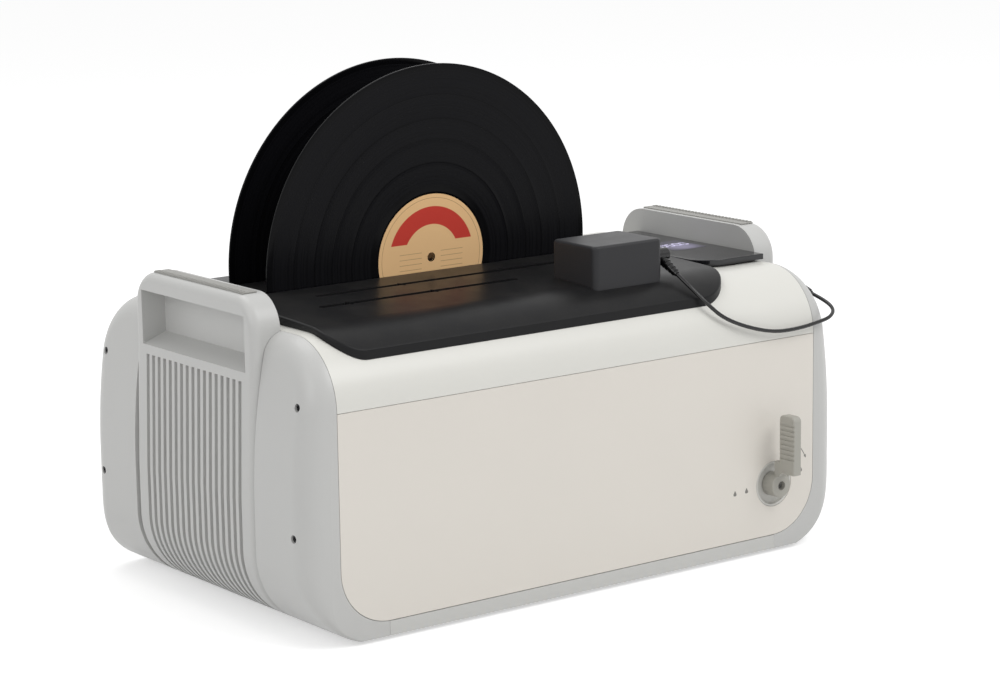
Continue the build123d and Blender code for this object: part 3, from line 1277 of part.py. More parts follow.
with BuildPart() as motor_socket:
    with BuildSketch(Plane.YZ.offset(BOX_RIGHT - 8)):
        with Locations((LEAD_SOCKET_Y, MOTOR_Z)):
            Circle(LEAD_BARREL_R)
    extrude(amount=8)
    with BuildSketch(Plane.YZ.offset(BOX_RIGHT)):
        with Locations((LEAD_SOCKET_Y, MOTOR_Z)):
            Circle(SOCKET_R)
    extrude(amount=0.8)
motor_socket.part.label = "motor_socket"
export_step(motor_socket.part, "parts/motor_socket.step")

# ---------------------------------------------------------------- motor lead and its plugs
LEAD_ROUTE = [
    (108, -126, 228),
    (110.7, -139.5, 218.6),
    (121, -148.5, 205),
    (132, -153, 194.5),
    (152, -157, 185.5),
    (180, -158, 178),
    (206, -158.5, 178),
    (228, -158, 180.5),
    (241, -156.5, 182.5),
    (251, -149.5, 186.5),
    (253.5, -136, 191.5),
    (251.5, -122.5, 195.5),
]
RELIEF_R = 4.0
RELIEF_TIP_R = 2.2
RELIEF_RIBS = 5
PLUG_R = 5.2


def plug_relief(tip, next_point, length):
    """Tapered, ribbed strain relief that ends square to the lead at tip."""
    start = Vector(*tip)
    back = (start - Vector(*next_point)).normalized()
    axis = Plane(origin=start, z_dir=back)
    slope = (RELIEF_R - RELIEF_TIP_R) / length
    rib_pitch = (length - 4) / RELIEF_RIBS
    with BuildPart(axis) as relief:
        Cone(RELIEF_TIP_R, RELIEF_R, length, align=(Align.CENTER, Align.CENTER, Align.MIN))
        for index in range(RELIEF_RIBS):
            height = 2 + index * rib_pitch
            with Locations((0, 0, height)):
                Cylinder(
                    RELIEF_TIP_R + slope * height + 0.7,
                    rib_pitch * 0.55,
                    align=(Align.CENTER, Align.CENTER, Align.MIN),
                )
    return relief.part


def corner_radii(route):
    """Largest bend at each corner of a cord's route: 0.45 of the shorter run over tan(half turn)."""
    points = [Vector(*point) for point in route]
    radii = []
    for before, corner, after in zip(points, points[1:], points[2:]):
        run_in = corner - before
        run_out = after - corner
        half_turn = math.radians(run_in.get_angle(run_out) / 2)
        radii.append(0.45 * min(run_in.length, run_out.length) / math.tan(half_turn))
    return radii


with BuildPart() as motor_plug:
    with BuildSketch(Plane.YZ.offset(BOX_RIGHT + 0.8)):
        with Locations((LEAD_SOCKET_Y, MOTOR_Z)):
            Circle(PLUG_R)
    extrude(amount=13)
    fillet(motor_plug.faces().sort_by(Axis.X)[-1].edges(), 1.5)
    add(plug_relief(LEAD_ROUTE[0], LEAD_ROUTE[1], 21))
motor_plug.part.label = "motor_plug"
export_step(motor_plug.part, "parts/motor_plug.step")

with BuildPart() as motor_lead:
    with BuildLine() as lead_path:
        FilletPolyline(*LEAD_ROUTE, radius=corner_radii(LEAD_ROUTE))
    with BuildSketch(Plane(origin=lead_path.wire() @ 0, z_dir=lead_path.wire() % 0)):
        Circle(LEAD_D / 2)
    sweep()
motor_lead.part.label = "motor_lead"
export_step(motor_lead.part, "parts/motor_lead.step")
lead_length = lead_path.wire().length
print("lead radii", [round(radius, 1) for radius in corner_radii(LEAD_ROUTE)])
print("lead length", round(lead_length, 1), "volume over section times length",
      round(motor_lead.part.volume / (math.pi * LEAD_D**2 / 4 * lead_length), 4))

with BuildPart() as lead_plug:
    with BuildSketch(Plane.YZ.offset(SOCKET_FACE_X + 0.3)):
        with Locations((SOCKET_Y, SOCKET_Z)):
            Circle(PLUG_R)
    extrude(amount=11)
    fillet(lead_plug.faces().sort_by(Axis.X)[-1].edges(), 1.5)
    add(plug_relief(LEAD_ROUTE[-1], LEAD_ROUTE[-2], 16))
lead_plug.part.label = "lead_plug"
export_step(lead_plug.part, "parts/lead_plug.step")

# ---------------------------------------------------------------- records
GROOVE_STEP = 0.15
LABEL_STEP = 0.1


def leaning_plane(record_y, lean):
    """Plane of a record that leans forward by lean degrees."""
    tilt = math.radians(lean)
    return Plane(origin=(RECORD_X, record_y, RECORD_Z), x_dir=(1, 0, 0), z_dir=(0, math.cos(tilt), math.sin(tilt)))


def record_disc(record_y, lean):
    """Twelve-inch disc: raised rim and label land, with the grooved band a little lower."""
    half = RECORD_THICKNESS / 2
    plane = leaning_plane(record_y, lean)
    with BuildPart() as disc:
        with BuildSketch(Plane(origin=plane.origin, x_dir=plane.x_dir, z_dir=plane.y_dir)):
            with BuildLine() as edge:
                Polyline(
                    (SPINDLE_HOLE_R, 0),
                    (SPINDLE_HOLE_R, half - LABEL_STEP),
                    (LABEL_R, half - LABEL_STEP),
                    (LABEL_R, half),
                    (LABEL_R + 3, half - GROOVE_STEP),
                    (RECORD_R - 5, half - GROOVE_STEP),
                    (RECORD_R - 3, half),
                    (RECORD_R - 0.6, half),
                    (RECORD_R, half - 0.6),
                    (RECORD_R, 0),
                )
                mirror(about=Plane.XZ)
            make_face()
        revolve(axis=Axis(plane.origin, plane.z_dir))
    return disc.part


def label_pair(record_y, lean):
    """Paper labels on both faces of a record."""
    plane = leaning_plane(record_y, lean)
    with BuildPart() as labels:
        for side in (-1, 1):
            face = side * (RECORD_THICKNESS / 2 - LABEL_STEP)
            with BuildSketch(plane.offset(face)):
                Circle(LABEL_R - 0.2)
                Circle(SPINDLE_HOLE_R, mode=Mode.SUBTRACT)
            extrude(amount=side * LABEL_STEP)
    return labels.part


with BuildPart() as front_record:
    add(record_disc(FRONT_RECORD_Y, FRONT_LEAN))
front_record.part.label = "front_record"
export_step(front_record.part, "parts/front_record.step")

with BuildPart() as rear_record:
    add(record_disc(REAR_RECORD_Y, REAR_LEAN))
rear_record.part.label = "rear_record"
export_step(rear_record.part, "parts/rear_record.step")

with BuildPart() as front_record_labels:
    add(label_pair(FRONT_RECORD_Y, FRONT_LEAN))
front_record_labels.part.label = "front_record_labels"
export_step(front_record_labels.part, "parts/front_record_labels.step")

with BuildPart() as rear_record_labels:
    add(label_pair(REAR_RECORD_Y, REAR_LEAN))
rear_record_labels.part.label = "rear_record_labels"
export_step(rear_record_labels.part, "parts/rear_record_labels.step")
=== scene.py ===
# %% [markdown]
# # A record cleaning machine
#
# The object is an ultrasonic cleaner for vinyl records. Records stand upright in the slots of a
# black deck, with their lower edge in a bath, and turn slowly on rollers. The housing is pale
# moulded plastic with a carrying handle at each end.
#
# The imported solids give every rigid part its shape. This file gives each of them a finish, and
# adds what solids don't carry: the flexible lead, the grooved vinyl, printed signs and a lit
# display. All lengths are in metres.

import json
import math

import bpy
import numpy as np
from mathutils import Matrix, Vector


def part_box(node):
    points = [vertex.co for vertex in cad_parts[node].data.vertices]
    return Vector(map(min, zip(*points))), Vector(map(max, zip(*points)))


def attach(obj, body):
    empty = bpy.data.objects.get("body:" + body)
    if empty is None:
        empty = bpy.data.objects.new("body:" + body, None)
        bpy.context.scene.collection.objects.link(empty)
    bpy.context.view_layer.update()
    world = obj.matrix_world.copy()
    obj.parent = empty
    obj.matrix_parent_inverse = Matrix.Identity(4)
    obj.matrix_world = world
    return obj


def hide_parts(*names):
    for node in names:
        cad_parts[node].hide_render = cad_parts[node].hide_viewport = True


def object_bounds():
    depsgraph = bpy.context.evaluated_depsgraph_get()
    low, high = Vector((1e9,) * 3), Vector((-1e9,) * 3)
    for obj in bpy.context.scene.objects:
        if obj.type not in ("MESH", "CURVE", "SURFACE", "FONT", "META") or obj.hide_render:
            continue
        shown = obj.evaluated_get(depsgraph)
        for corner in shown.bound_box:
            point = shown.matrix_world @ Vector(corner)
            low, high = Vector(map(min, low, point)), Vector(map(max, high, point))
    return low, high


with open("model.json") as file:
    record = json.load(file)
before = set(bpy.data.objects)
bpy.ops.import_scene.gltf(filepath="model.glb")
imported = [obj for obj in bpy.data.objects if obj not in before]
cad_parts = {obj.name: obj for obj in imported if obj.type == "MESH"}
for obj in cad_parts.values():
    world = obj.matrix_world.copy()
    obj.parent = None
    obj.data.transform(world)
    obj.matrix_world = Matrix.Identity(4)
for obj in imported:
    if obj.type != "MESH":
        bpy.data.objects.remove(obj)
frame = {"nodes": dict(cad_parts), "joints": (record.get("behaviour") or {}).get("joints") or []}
solid_low, solid_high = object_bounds()
JOINTS = {joint["name"]: joint for joint in frame["joints"]}
print("solids span", [round(side, 4) for side in solid_high - solid_low])

# %% [markdown]
# ## The camera
#
# The photograph was taken with a long lens, a little above the machine and to its left. A camera
# is aimed by three directions: where it looks, what is to its right, and what is up. They are
# worked out from azimuth, elevation and a small roll, and become the columns of its matrix.

# %% Place the camera
LENS_MM = 104.81
SENSOR_MM = 36.0
CAMERA_PLACE = Vector((-1.3196, -1.8064, 0.6133))
CAMERA_AZIMUTH = math.radians(-36.798)
CAMERA_ELEVATION = math.radians(11.372)
CAMERA_ROLL = math.radians(-0.8366)


def camera_matrix(place, azimuth, elevation, roll):
    """Forward is the horizontal heading turned down by the elevation. Right is level and then
    turned about forward by the roll, and up is square to both."""
    forward = Vector(
        (
            -math.sin(azimuth) * math.cos(elevation),
            math.cos(azimuth) * math.cos(elevation),
            -math.sin(elevation),
        )
    )
    level_right = Vector((math.cos(azimuth), math.sin(azimuth), 0))
    level_up = level_right.cross(forward)
    right = level_right * math.cos(roll) + level_up * math.sin(roll)
    up = level_up * math.cos(roll) - level_right * math.sin(roll)
    turned = Matrix((right, up, -forward)).transposed().to_4x4()
    return Matrix.Translation(place) @ turned


camera_data = bpy.data.cameras.new("product_camera")
camera_data.lens = LENS_MM
camera_data.sensor_width = SENSOR_MM
camera_data.clip_start = 0.05
camera_data.clip_end = 60
camera = bpy.data.objects.new("product_camera", camera_data)
camera.matrix_world = camera_matrix(
    CAMERA_PLACE, CAMERA_AZIMUTH, CAMERA_ELEVATION, CAMERA_ROLL
)
bpy.context.scene.collection.objects.link(camera)
bpy.context.scene.camera = camera
print("camera is", round(CAMERA_PLACE.length, 3), "m from the origin")

# %% [markdown]
# ## The motor lead
#
# A thin round lead leaves a plug on the motor box, drops off the deck, lies along the rounded
# front of the cover and goes round the right cheek to its socket. A lead is one smooth line with
# a round section, so a NURBS curve with a bevel fits it better than any mesh: the control points
# pull the line without it passing through each of them, and no kink can form.

# %% Lay the lead
LEAD_DIAMETER = 0.003
LEAD_ROUTE = [
    (0.108, -0.126, 0.228),
    (0.1107, -0.1395, 0.2186),
    (0.121, -0.1485, 0.205),
    (0.132, -0.153, 0.1945),
    (0.152, -0.157, 0.1855),
    (0.18, -0.158, 0.178),
    (0.206, -0.1585, 0.178),
    (0.228, -0.158, 0.1805),
    (0.241, -0.1565, 0.1825),
    (0.251, -0.1495, 0.1865),
    (0.2535, -0.136, 0.1915),
    (0.2515, -0.1225, 0.1955),
]


def nurbs_cord(name, route, diameter):
    """A round cord along one open NURBS spline of order 3 that starts and ends on its end points.
    The bevel is a unit circle, which each point's radius brings down to the cord's own."""
    curve = bpy.data.curves.new(name, "CURVE")
    curve.dimensions = "3D"
    curve.bevel_depth = 1.0
    curve.bevel_resolution = 5
    curve.resolution_u = 16
    curve.use_fill_caps = True
    spline = curve.splines.new("NURBS")
    spline.points.add(len(route) - 1)
    for point, place in zip(spline.points, route):
        point.co = (*place, 1)
        point.radius = diameter / 2
    spline.order_u = 3
    spline.use_endpoint_u = True
    cord = bpy.data.objects.new(name, curve)
    bpy.context.scene.collection.objects.link(cord)
    return cord


lead = nurbs_cord("lead_cord", LEAD_ROUTE, LEAD_DIAMETER)
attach(lead, "deck")
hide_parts("motor_lead")
print("lead has", len(LEAD_ROUTE), "control points")

# %% [markdown]
# ## Surfaces from grids
#
# Each new rigid piece is a sheet of points with two parameters. One numpy array holds the whole
# sheet, and a helper turns it into quads. Where a direction comes back to its start, as the angle
# of a turned piece does, the last column of quads joins the first.


# %% Turn a grid of points into a mesh
def grid_faces(rows, columns, wrap_rows=False, wrap_columns=False):
    """Quads between neighbouring points of a rows by columns sheet, as an array of four indices."""
    index = np.arange(rows * columns).reshape(rows, columns)
    if wrap_rows:
        index = np.vstack([index, index[:1]])
    if wrap_columns:
        index = np.hstack([index, index[:, :1]])
    corners = (index[:-1, :-1], index[1:, :-1], index[1:, 1:], index[:-1, 1:])
    return np.stack([corner.ravel() for corner in corners], axis=1)


def mesh_piece(name, points, faces, smooth=True):
    """An object at the origin whose mesh holds the points and the faces between them."""
    mesh = bpy.data.meshes.new(name)
    mesh.from_pydata(points.reshape(-1, 3).tolist(), [], faces.tolist())
    mesh.polygons.foreach_set("use_smooth", np.full(len(faces), smooth))
    mesh.validate()
    piece = bpy.data.objects.new(name, mesh)
    bpy.context.scene.collection.objects.link(piece)
    return piece


# %% [markdown]
# ## Vinyl
#
# A pressed record is thickest at its rim and round the label. Between them lies the grooved band,
# a little lower, cut into tracks by smooth rings. Such a shape is a profile turned about an axis,
# so the sheet's parameters are the place along the profile and the angle. The grooves themselves
# are far finer than a mesh can hold, and come later, in the material.

# %% Turn the two records
SPINDLE_RADIUS = 0.0037
RECORD_RADIUS = 0.1508
RECORD_HALF = 0.001
LABEL_RADIUS = 0.05
LABEL_SINK = 0.0001
BAND_SINK = 0.00015
BAND_INNER = 0.058
BAND_OUTER = 0.1458
TRACK_RINGS = (0.0745, 0.0925, 0.1085, 0.127)
RING_WIDTH = 0.0011
RIM_ROUND = 0.0006
TURN_STEPS = 288


def record_profile():
    """Radius and height of one face, from the spindle hole to the middle of the rim. The height
    is the half thickness, less a step under the label, less the sink of the band, which fades at
    both its ends and stands a little higher in each smooth ring."""
    ring_edges = [ring + side * RING_WIDTH for ring in TRACK_RINGS for side in (-0.5, -0.2, 0.2, 0.5)]
    flat = np.array(
        [SPINDLE_RADIUS, 0.02, 0.04, LABEL_RADIUS - 1e-5]
        + [LABEL_RADIUS, 0.0515, 0.053, 0.0555, BAND_INNER]
        + ring_edges
        + list(np.linspace(BAND_INNER + 0.005, BAND_OUTER, 12))
        + [0.1468, 0.1478, 0.149, RECORD_RADIUS - RIM_ROUND]
    )
    radius = np.sort(flat)
    in_band = np.clip((radius - 0.051) / 0.003, 0, 1) * np.clip((0.1478 - radius) / 0.002, 0, 1)
    nearest = np.min(np.abs(radius[:, None] - np.array(TRACK_RINGS)), axis=1)
    in_ring = np.clip(1.6 - 3.2 * nearest / RING_WIDTH, 0, 1)
    height = RECORD_HALF - BAND_SINK * in_band * (1 - 0.55 * in_ring)
    height = np.where(radius < LABEL_RADIUS, RECORD_HALF - LABEL_SINK, height)
    quarter = np.radians(np.arange(15, 91, 15))
    rim_radius = RECORD_RADIUS - RIM_ROUND * (1 - np.sin(quarter))
    rim_height = RECORD_HALF - RIM_ROUND * (1 - np.cos(quarter))
    return np.append(radius, rim_radius), np.append(height, rim_height)


def turned_disc(name, spin_joint):
    """The profile and its mirror image make one closed outline. Each of its points runs round the
    joint's axis: centre + height along the axis + radius in the two directions square to it."""
    joint = JOINTS[spin_joint]
    centre, axis = np.array(joint["pos_m"]), np.array(joint["axis"])
    across = np.array((1.0, 0.0, 0.0))
    upward = np.cross(across, axis)
    radius, height = record_profile()
    radius = np.concatenate([radius, radius[::-1]])
    height = np.concatenate([height, -height[::-1]])
    angle = np.linspace(0, 2 * np.pi, TURN_STEPS, endpoint=False)
    round_way = np.cos(angle)[:, None] * across + np.sin(angle)[:, None] * upward
    points = centre + height[:, None, None] * axis + radius[:, None, None] * round_way
    faces = grid_faces(len(radius), TURN_STEPS, wrap_rows=True, wrap_columns=True)
    return mesh_piece(name, points, faces)


for side in ("front", "rear"):
    disc = turned_disc(f"{side}_vinyl", f"{side}_record_spin")
    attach(disc, f"{side}_disc")
    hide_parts(f"{side}_record")
    print(disc.name, "has", len(disc.data.polygons), "faces")

# %% [markdown]
# ## Signs on the front panel
#
# Two drops stand to the left of the drain valve and one to its right, and a short curved arrow
# shows which way the lever turns. They are printed, so each is a film of ink a few hundredths of
# a millimetre thick. A flat shape on a sheet needs an outline and a share: share 0 is the middle
# of the shape, and share 1 its edge.

# %% Print the drops and the arrow
INK_THICKNESS = 0.00006
DROP_HEIGHT = 0.0046
DROP_WIDTH = 0.0031
DROP_PLACES = ((0.1435, 0.054), (0.1555, 0.0545), (0.2125, 0.063))
ARROW_RADIUS = 0.0375
ARROW_WIDTH = 0.0007
ARROW_FROM, ARROW_TO = math.radians(29), math.radians(42)
ARROW_HEAD = 0.0026
PIVOT_X, _, PIVOT_Z = JOINTS["drain_lever_turn"]["pos_m"]
PANEL_FACE_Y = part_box("front_panel")[0].y


def ink(name, across, upward):
    """A film on the front panel. Across and upward are sheets of places on the panel, and the film
    lies just proud of it, closed by a wall round its edge."""
    depth = np.full(across.shape, PANEL_FACE_Y - INK_THICKNESS)
    points = np.stack([across, depth, upward], axis=-1)
    piece = mesh_piece(name, points, grid_faces(*across.shape), smooth=False)
    wall = piece.modifiers.new("film", "SOLIDIFY")
    wall.thickness = INK_THICKNESS
    wall.offset = -1
    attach(piece, "housing")
    return piece


def drop_film(name, place_x, place_z):
    """A drop: at turn t its edge is at across = sin(t) * sin(t / 2) squared and upward = cos(t),
    which is round below and pointed above, scaled by the share."""
    share = np.linspace(0.02, 1, 7)[:, None]
    turn = np.linspace(0, 2 * np.pi, 33)[None, :]
    across = place_x + DROP_WIDTH * 0.77 * share * np.sin(turn) * np.sin(turn / 2) ** 2
    upward = place_z + DROP_HEIGHT / 2 * share * np.cos(turn)
    return ink(name, across, upward)


def arc_film(name, start, end, width_start, width_end):
    """A curved band about the lever's pivot, whose width changes evenly from one end to the other."""
    along = np.linspace(0, 1, 13)[None, :]
    side = np.linspace(-0.5, 0.5, 3)[:, None]
    angle = start + (end - start) * along
    radius = ARROW_RADIUS + side * (width_start + (width_end - width_start) * along)
    across = PIVOT_X + radius * np.cos(angle)
    upward = PIVOT_Z + radius * np.sin(angle)
    return ink(name, across, upward)


signs = [
    drop_film(f"drop_sign_{number}", x, z) for number, (x, z) in enumerate(DROP_PLACES, 1)
]
signs.append(arc_film("arrow_shaft", ARROW_FROM, ARROW_TO, ARROW_WIDTH, ARROW_WIDTH))
head_turn = ARROW_HEAD / ARROW_RADIUS
signs.append(
    arc_film("arrow_head", ARROW_FROM, ARROW_FROM - head_turn, ARROW_HEAD, ARROW_WIDTH / 4)
)
print("printed", len(signs), "signs")

# %% [markdown]
# ## The display
#
# Under the glossy panel a small display shows the time that is left. A seven-bar digit is the
# plainest figure there is: each bar is a long hexagon, and a digit lights some of the seven.

# %% Light the digits
DIGIT_BARS = {"0": "abcdef", "5": "acdfg"}
BAR_PLACES = {
    "a": (0.5, 2, 0),
    "b": (1, 1.5, 1),
    "c": (1, 0.5, 1),
    "d": (0.5, 0, 0),
    "e": (0, 0.5, 1),
    "f": (0, 1.5, 1),
    "g": (0.5, 1, 0),
}
DIGIT_SIZE = 0.0046
BAR_HALF_WIDTH = 0.00042
DIGIT_STEP = 0.0072
DIGITS_INSET = 0.0038
DIGITS_DROP = 0.002
display_low, display_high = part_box("display_window")
DIGIT_Z = display_high.z + 0.00005


def bar_hexagon(column, row, upright):
    """The six corners of one bar: half a digit size long, pointed at both ends, and lying along
    the column direction or, if upright, along the row direction."""
    reach = DIGIT_SIZE / 2 - 0.0001
    along = np.array([-reach, -reach + BAR_HALF_WIDTH, reach - BAR_HALF_WIDTH, reach])
    along = np.concatenate([along, along[2:0:-1]])
    aside = np.array([0, 1, 1, 0, -1, -1]) * BAR_HALF_WIDTH
    x, y = (aside, along) if upright else (along, aside)
    return np.stack([x + column * DIGIT_SIZE, y + row * DIGIT_SIZE], axis=1)


def digit_film(name, text, left, bottom):
    """The lit bars of a row of digits, joined in one mesh just above the glass."""
    outlines = [
        bar_hexagon(*BAR_PLACES[bar]) + (left + place * DIGIT_STEP, bottom)
        for place, digit in enumerate(text)
        for bar in DIGIT_BARS[digit]
    ]
    flat = np.concatenate(outlines)
    points = np.column_stack([flat, np.full(len(flat), DIGIT_Z)])
    first = np.arange(len(outlines))[:, None] * 6
    faces = np.vstack([first + np.array(quad)[None, :] for quad in ((3, 2, 1, 0), (5, 4, 3, 0))])
    return mesh_piece(name, points, faces[:, ::-1], smooth=False)


digits = digit_film(
    "display_digits",
    "0500",
    display_low.x + DIGITS_INSET,
    (display_low.y + display_high.y) / 2 - DIGITS_DROP,
)
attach(digits, "housing")
print("display shows", len(digits.data.polygons) // 2, "bars")

# %% [markdown]
# ## Shared effects
#
# Some effects come back in several finishes: the fine grain of a moulded skin, the film of dust
# on dark plastic, the brushing of steel. Each is a node group with named inputs, made once. A
# material places the group with its own values and feeds its shader from the group's outputs.


# %% Helpers for node trees
def linear(red, green, blue):
    """A colour given in 0 to 255 steps as the eye reads it, as the linear values that light uses."""
    share = np.array((red, green, blue)) / 255
    value = np.where(share <= 0.04045, share / 12.92, ((share + 0.055) / 1.055) ** 2.4)
    return (*value.tolist(), 1.0)


def joined(tree, target, value):
    """Feeds a socket from another socket, or sets it if the value is a plain number."""
    if isinstance(value, bpy.types.NodeSocket):
        tree.links.new(value, target)
    else:
        target.default_value = value


def sum_of(tree, operation, first, second=0.0, clamp=False):
    """One Math node, and what it puts out."""
    node = tree.nodes.new("ShaderNodeMath")
    node.operation = operation
    node.use_clamp = clamp
    joined(tree, node.inputs[0], first)
    joined(tree, node.inputs[1], second)
    return node.outputs[0]


def ramp_of(tree, value, low, high, to_low=0.0, to_high=1.0):
    """A smooth ramp: below low it gives to_low, above high to_high, and an S-curve between."""
    node = tree.nodes.new("ShaderNodeMapRange")
    node.interpolation_type = "SMOOTHSTEP"
    for name, number in (
        ("From Min", low),
        ("From Max", high),
        ("To Min", to_low),
        ("To Max", to_high),
    ):
        joined(tree, node.inputs[name], number)
    joined(tree, node.inputs["Value"], value)
    return node.outputs["Result"]


def noise_of(tree, place, scale, detail=2.0):
    """Noise from 0 to 1 at a place, with that many lumps to the metre."""
    node = tree.nodes.new("ShaderNodeTexNoise")
    node.inputs["Detail"].default_value = detail
    joined(tree, node.inputs["Vector"], place)
    joined(tree, node.inputs["Scale"], scale)
    return node.outputs["Fac"]


def blend_of(tree, share, first, second):
    """The first colour where the share is 0, and the second where it is 1."""
    node = tree.nodes.new("ShaderNodeMix")
    node.data_type = "RGBA"
    joined(tree, node.inputs["Factor"], share)
    joined(tree, node.inputs["A"], first)
    joined(tree, node.inputs["B"], second)
    return node.outputs["Result"]


def object_place(tree):
    """Where on the object a point is, in metres."""
    return tree.nodes.new("ShaderNodeTexCoord").outputs["Object"]


def new_group(name, inputs, outputs):
    """An empty node group with those sockets, its tree, and the nodes that stand for its ends."""
    tree = bpy.data.node_groups.new(name, "ShaderNodeTree")
    for label, kind, value in inputs:
        socket = tree.interface.new_socket(label, in_out="INPUT", socket_type=kind)
        socket.default_value = value
    for label, kind in outputs:
        tree.interface.new_socket(label, in_out="OUTPUT", socket_type=kind)
    return tree, tree.nodes.new("NodeGroupInput").outputs, tree.nodes.new("NodeGroupOutput").inputs


FLOAT = "NodeSocketFloat"
COLOUR = "NodeSocketColor"


# %% [markdown]
# ### Moulded skin
#
# A moulded plastic face is never perfectly even. It has a fine spark-eroded grain of a few tenths
# of a millimetre, a slow drift of tone, and a gloss that changes where hands have been. Two
# noises do all of this: a fine one for the grain, and a slow one for tone and gloss.


# %% Group: moulded skin
DRIFT_SCALE = 14.0
RUBBED_SCALE = 55.0


def make_moulded_skin():
    """Colour times a slow tone, roughness plus a slow drift, and a fine grain as height."""
    tree, given, result = new_group(
        "moulded_skin",
        [
            ("Colour", COLOUR, (0.8, 0.8, 0.8, 1)),
            ("Tone Spread", FLOAT, 0.03),
            ("Roughness", FLOAT, 0.4),
            ("Gloss Spread", FLOAT, 0.08),
            ("Grain Scale", FLOAT, 2600.0),
        ],
        [("Colour", COLOUR), ("Roughness", FLOAT), ("Height", FLOAT)],
    )
    place = object_place(tree)
    drift = sum_of(tree, "SUBTRACT", noise_of(tree, place, DRIFT_SCALE, 3.0), 0.5)
    rubbed = sum_of(tree, "SUBTRACT", noise_of(tree, place, RUBBED_SCALE, 4.0), 0.5)
    tone = sum_of(tree, "ADD", sum_of(tree, "MULTIPLY", drift, given["Tone Spread"]), 1.0)
    scaled = tree.nodes.new("ShaderNodeVectorMath")
    scaled.operation = "SCALE"
    joined(tree, scaled.inputs[0], given["Colour"])
    joined(tree, scaled.inputs["Scale"], tone)
    gloss = sum_of(tree, "MULTIPLY", rubbed, given["Gloss Spread"])
    joined(tree, result["Colour"], scaled.outputs[0])
    joined(tree, result["Roughness"], sum_of(tree, "ADD", given["Roughness"], gloss, clamp=True))
    joined(tree, result["Height"], noise_of(tree, place, given["Grain Scale"]))
    return tree


moulded_skin = make_moulded_skin()
print("made group", moulded_skin.name)

# %% [markdown]
# ### Settled dust
#
# Dark plastic shows every speck. Dust settles on faces that look up, so the mask is the upward
# part of the surface's direction times a sparse, speckled noise.


# %% Group: settled dust
FILM_SCALE = 38.0
SPECK_SCALE = 900.0
FILM_SHARE = 0.35


def make_settled_dust():
    """A mask that is 0 on walls and undersides and speckled on tops, and the colour under it."""
    tree, given, result = new_group(
        "settled_dust",
        [
            ("Colour", COLOUR, (0.02, 0.02, 0.02, 1)),
            ("Dust Colour", COLOUR, linear(150, 146, 138)),
            ("Amount", FLOAT, 0.1),
        ],
        [("Colour", COLOUR), ("Mask", FLOAT)],
    )
    direction = tree.nodes.new("ShaderNodeTexCoord").outputs["Normal"]
    parts = tree.nodes.new("ShaderNodeSeparateXYZ")
    joined(tree, parts.inputs[0], direction)
    upward = ramp_of(tree, parts.outputs["Z"], 0.55, 0.98)
    place = object_place(tree)
    film = ramp_of(tree, noise_of(tree, place, FILM_SCALE, 4.0), 0.35, 0.75)
    specks = ramp_of(tree, noise_of(tree, place, SPECK_SCALE, 1.0), 0.68, 0.76)
    cover = sum_of(tree, "ADD", sum_of(tree, "MULTIPLY", film, FILM_SHARE), specks, clamp=True)
    mask = sum_of(tree, "MULTIPLY", sum_of(tree, "MULTIPLY", cover, upward), given["Amount"])
    joined(tree, result["Colour"], blend_of(tree, mask, given["Colour"], given["Dust Colour"]))
    joined(tree, result["Mask"], mask)
    return tree


settled_dust = make_settled_dust()
print("made group", settled_dust.name)

# %% [markdown]
# ### Brushed metal
#
# Brushing leaves fine parallel scratches. A noise that is stretched along one direction and
# squeezed across it draws them, and serves both as roughness and as height.


# %% Group: brushed metal
def make_brushed_metal():
    """Noise at a place scaled unevenly: few lumps along the brushing, and thousands across it."""
    tree, given, result = new_group(
        "brushed_metal",
        [
            ("Stretch", "NodeSocketVector", (12.0, 900.0, 900.0)),
            ("Roughness", FLOAT, 0.3),
            ("Scratch", FLOAT, 0.25),
        ],
        [("Roughness", FLOAT), ("Height", FLOAT)],
    )
    spread = tree.nodes.new("ShaderNodeVectorMath")
    spread.operation = "MULTIPLY"
    joined(tree, spread.inputs[0], object_place(tree))
    joined(tree, spread.inputs[1], given["Stretch"])
    scratch = noise_of(tree, spread.outputs[0], 1.0, 3.0)
    uneven = sum_of(tree, "MULTIPLY", sum_of(tree, "SUBTRACT", scratch, 0.5), given["Scratch"])
    joined(tree, result["Roughness"], sum_of(tree, "ADD", given["Roughness"], uneven, clamp=True))
    joined(tree, result["Height"], scratch)
    return tree


brushed_metal = make_brushed_metal()
print("made group", brushed_metal.name)

# %% [markdown]
# ### Rings about a centre
#
# Records and their labels are patterned by distance from the spindle alone. This group measures
# that distance, and gives two things: the wave of the grooves, and a value that differs from
# track to track. Loud and quiet music cut grooves that catch the light differently, so this value
# is a painted sheen: it lightens or darkens the colour of the vinyl track by track, and also sets
# its roughness.


# %% Group: rings about a centre
def make_cut_rings():
    """Distance from the centre, a sine of it with the pitch given, and noise that depends on the
    distance only, so that it draws even rings: the painted sheen of the tracks."""
    tree, given, result = new_group(
        "cut_rings",
        [("Centre", "NodeSocketVector", (0, 0, 0)), ("Pitch", FLOAT, 0.0009)],
        [("Distance", FLOAT), ("Wave", FLOAT), ("Track Sheen", FLOAT)],
    )
    reach = tree.nodes.new("ShaderNodeVectorMath")
    reach.operation = "DISTANCE"
    joined(tree, reach.inputs[0], object_place(tree))
    joined(tree, reach.inputs[1], given["Centre"])
    distance = reach.outputs["Value"]
    turns = sum_of(tree, "DIVIDE", sum_of(tree, "MULTIPLY", distance, 2 * math.pi), given["Pitch"])
    tracks = tree.nodes.new("ShaderNodeTexNoise")
    tracks.noise_dimensions = "1D"
    tracks.inputs["Scale"].default_value = 420.0
    tracks.inputs["Detail"].default_value = 3.0
    joined(tree, tracks.inputs["W"], distance)
    joined(tree, result["Distance"], distance)
    joined(tree, result["Wave"], sum_of(tree, "SINE", turns))
    joined(tree, result["Track Sheen"], tracks.outputs["Fac"])
    return tree


cut_rings = make_cut_rings()
print("made group", cut_rings.name)

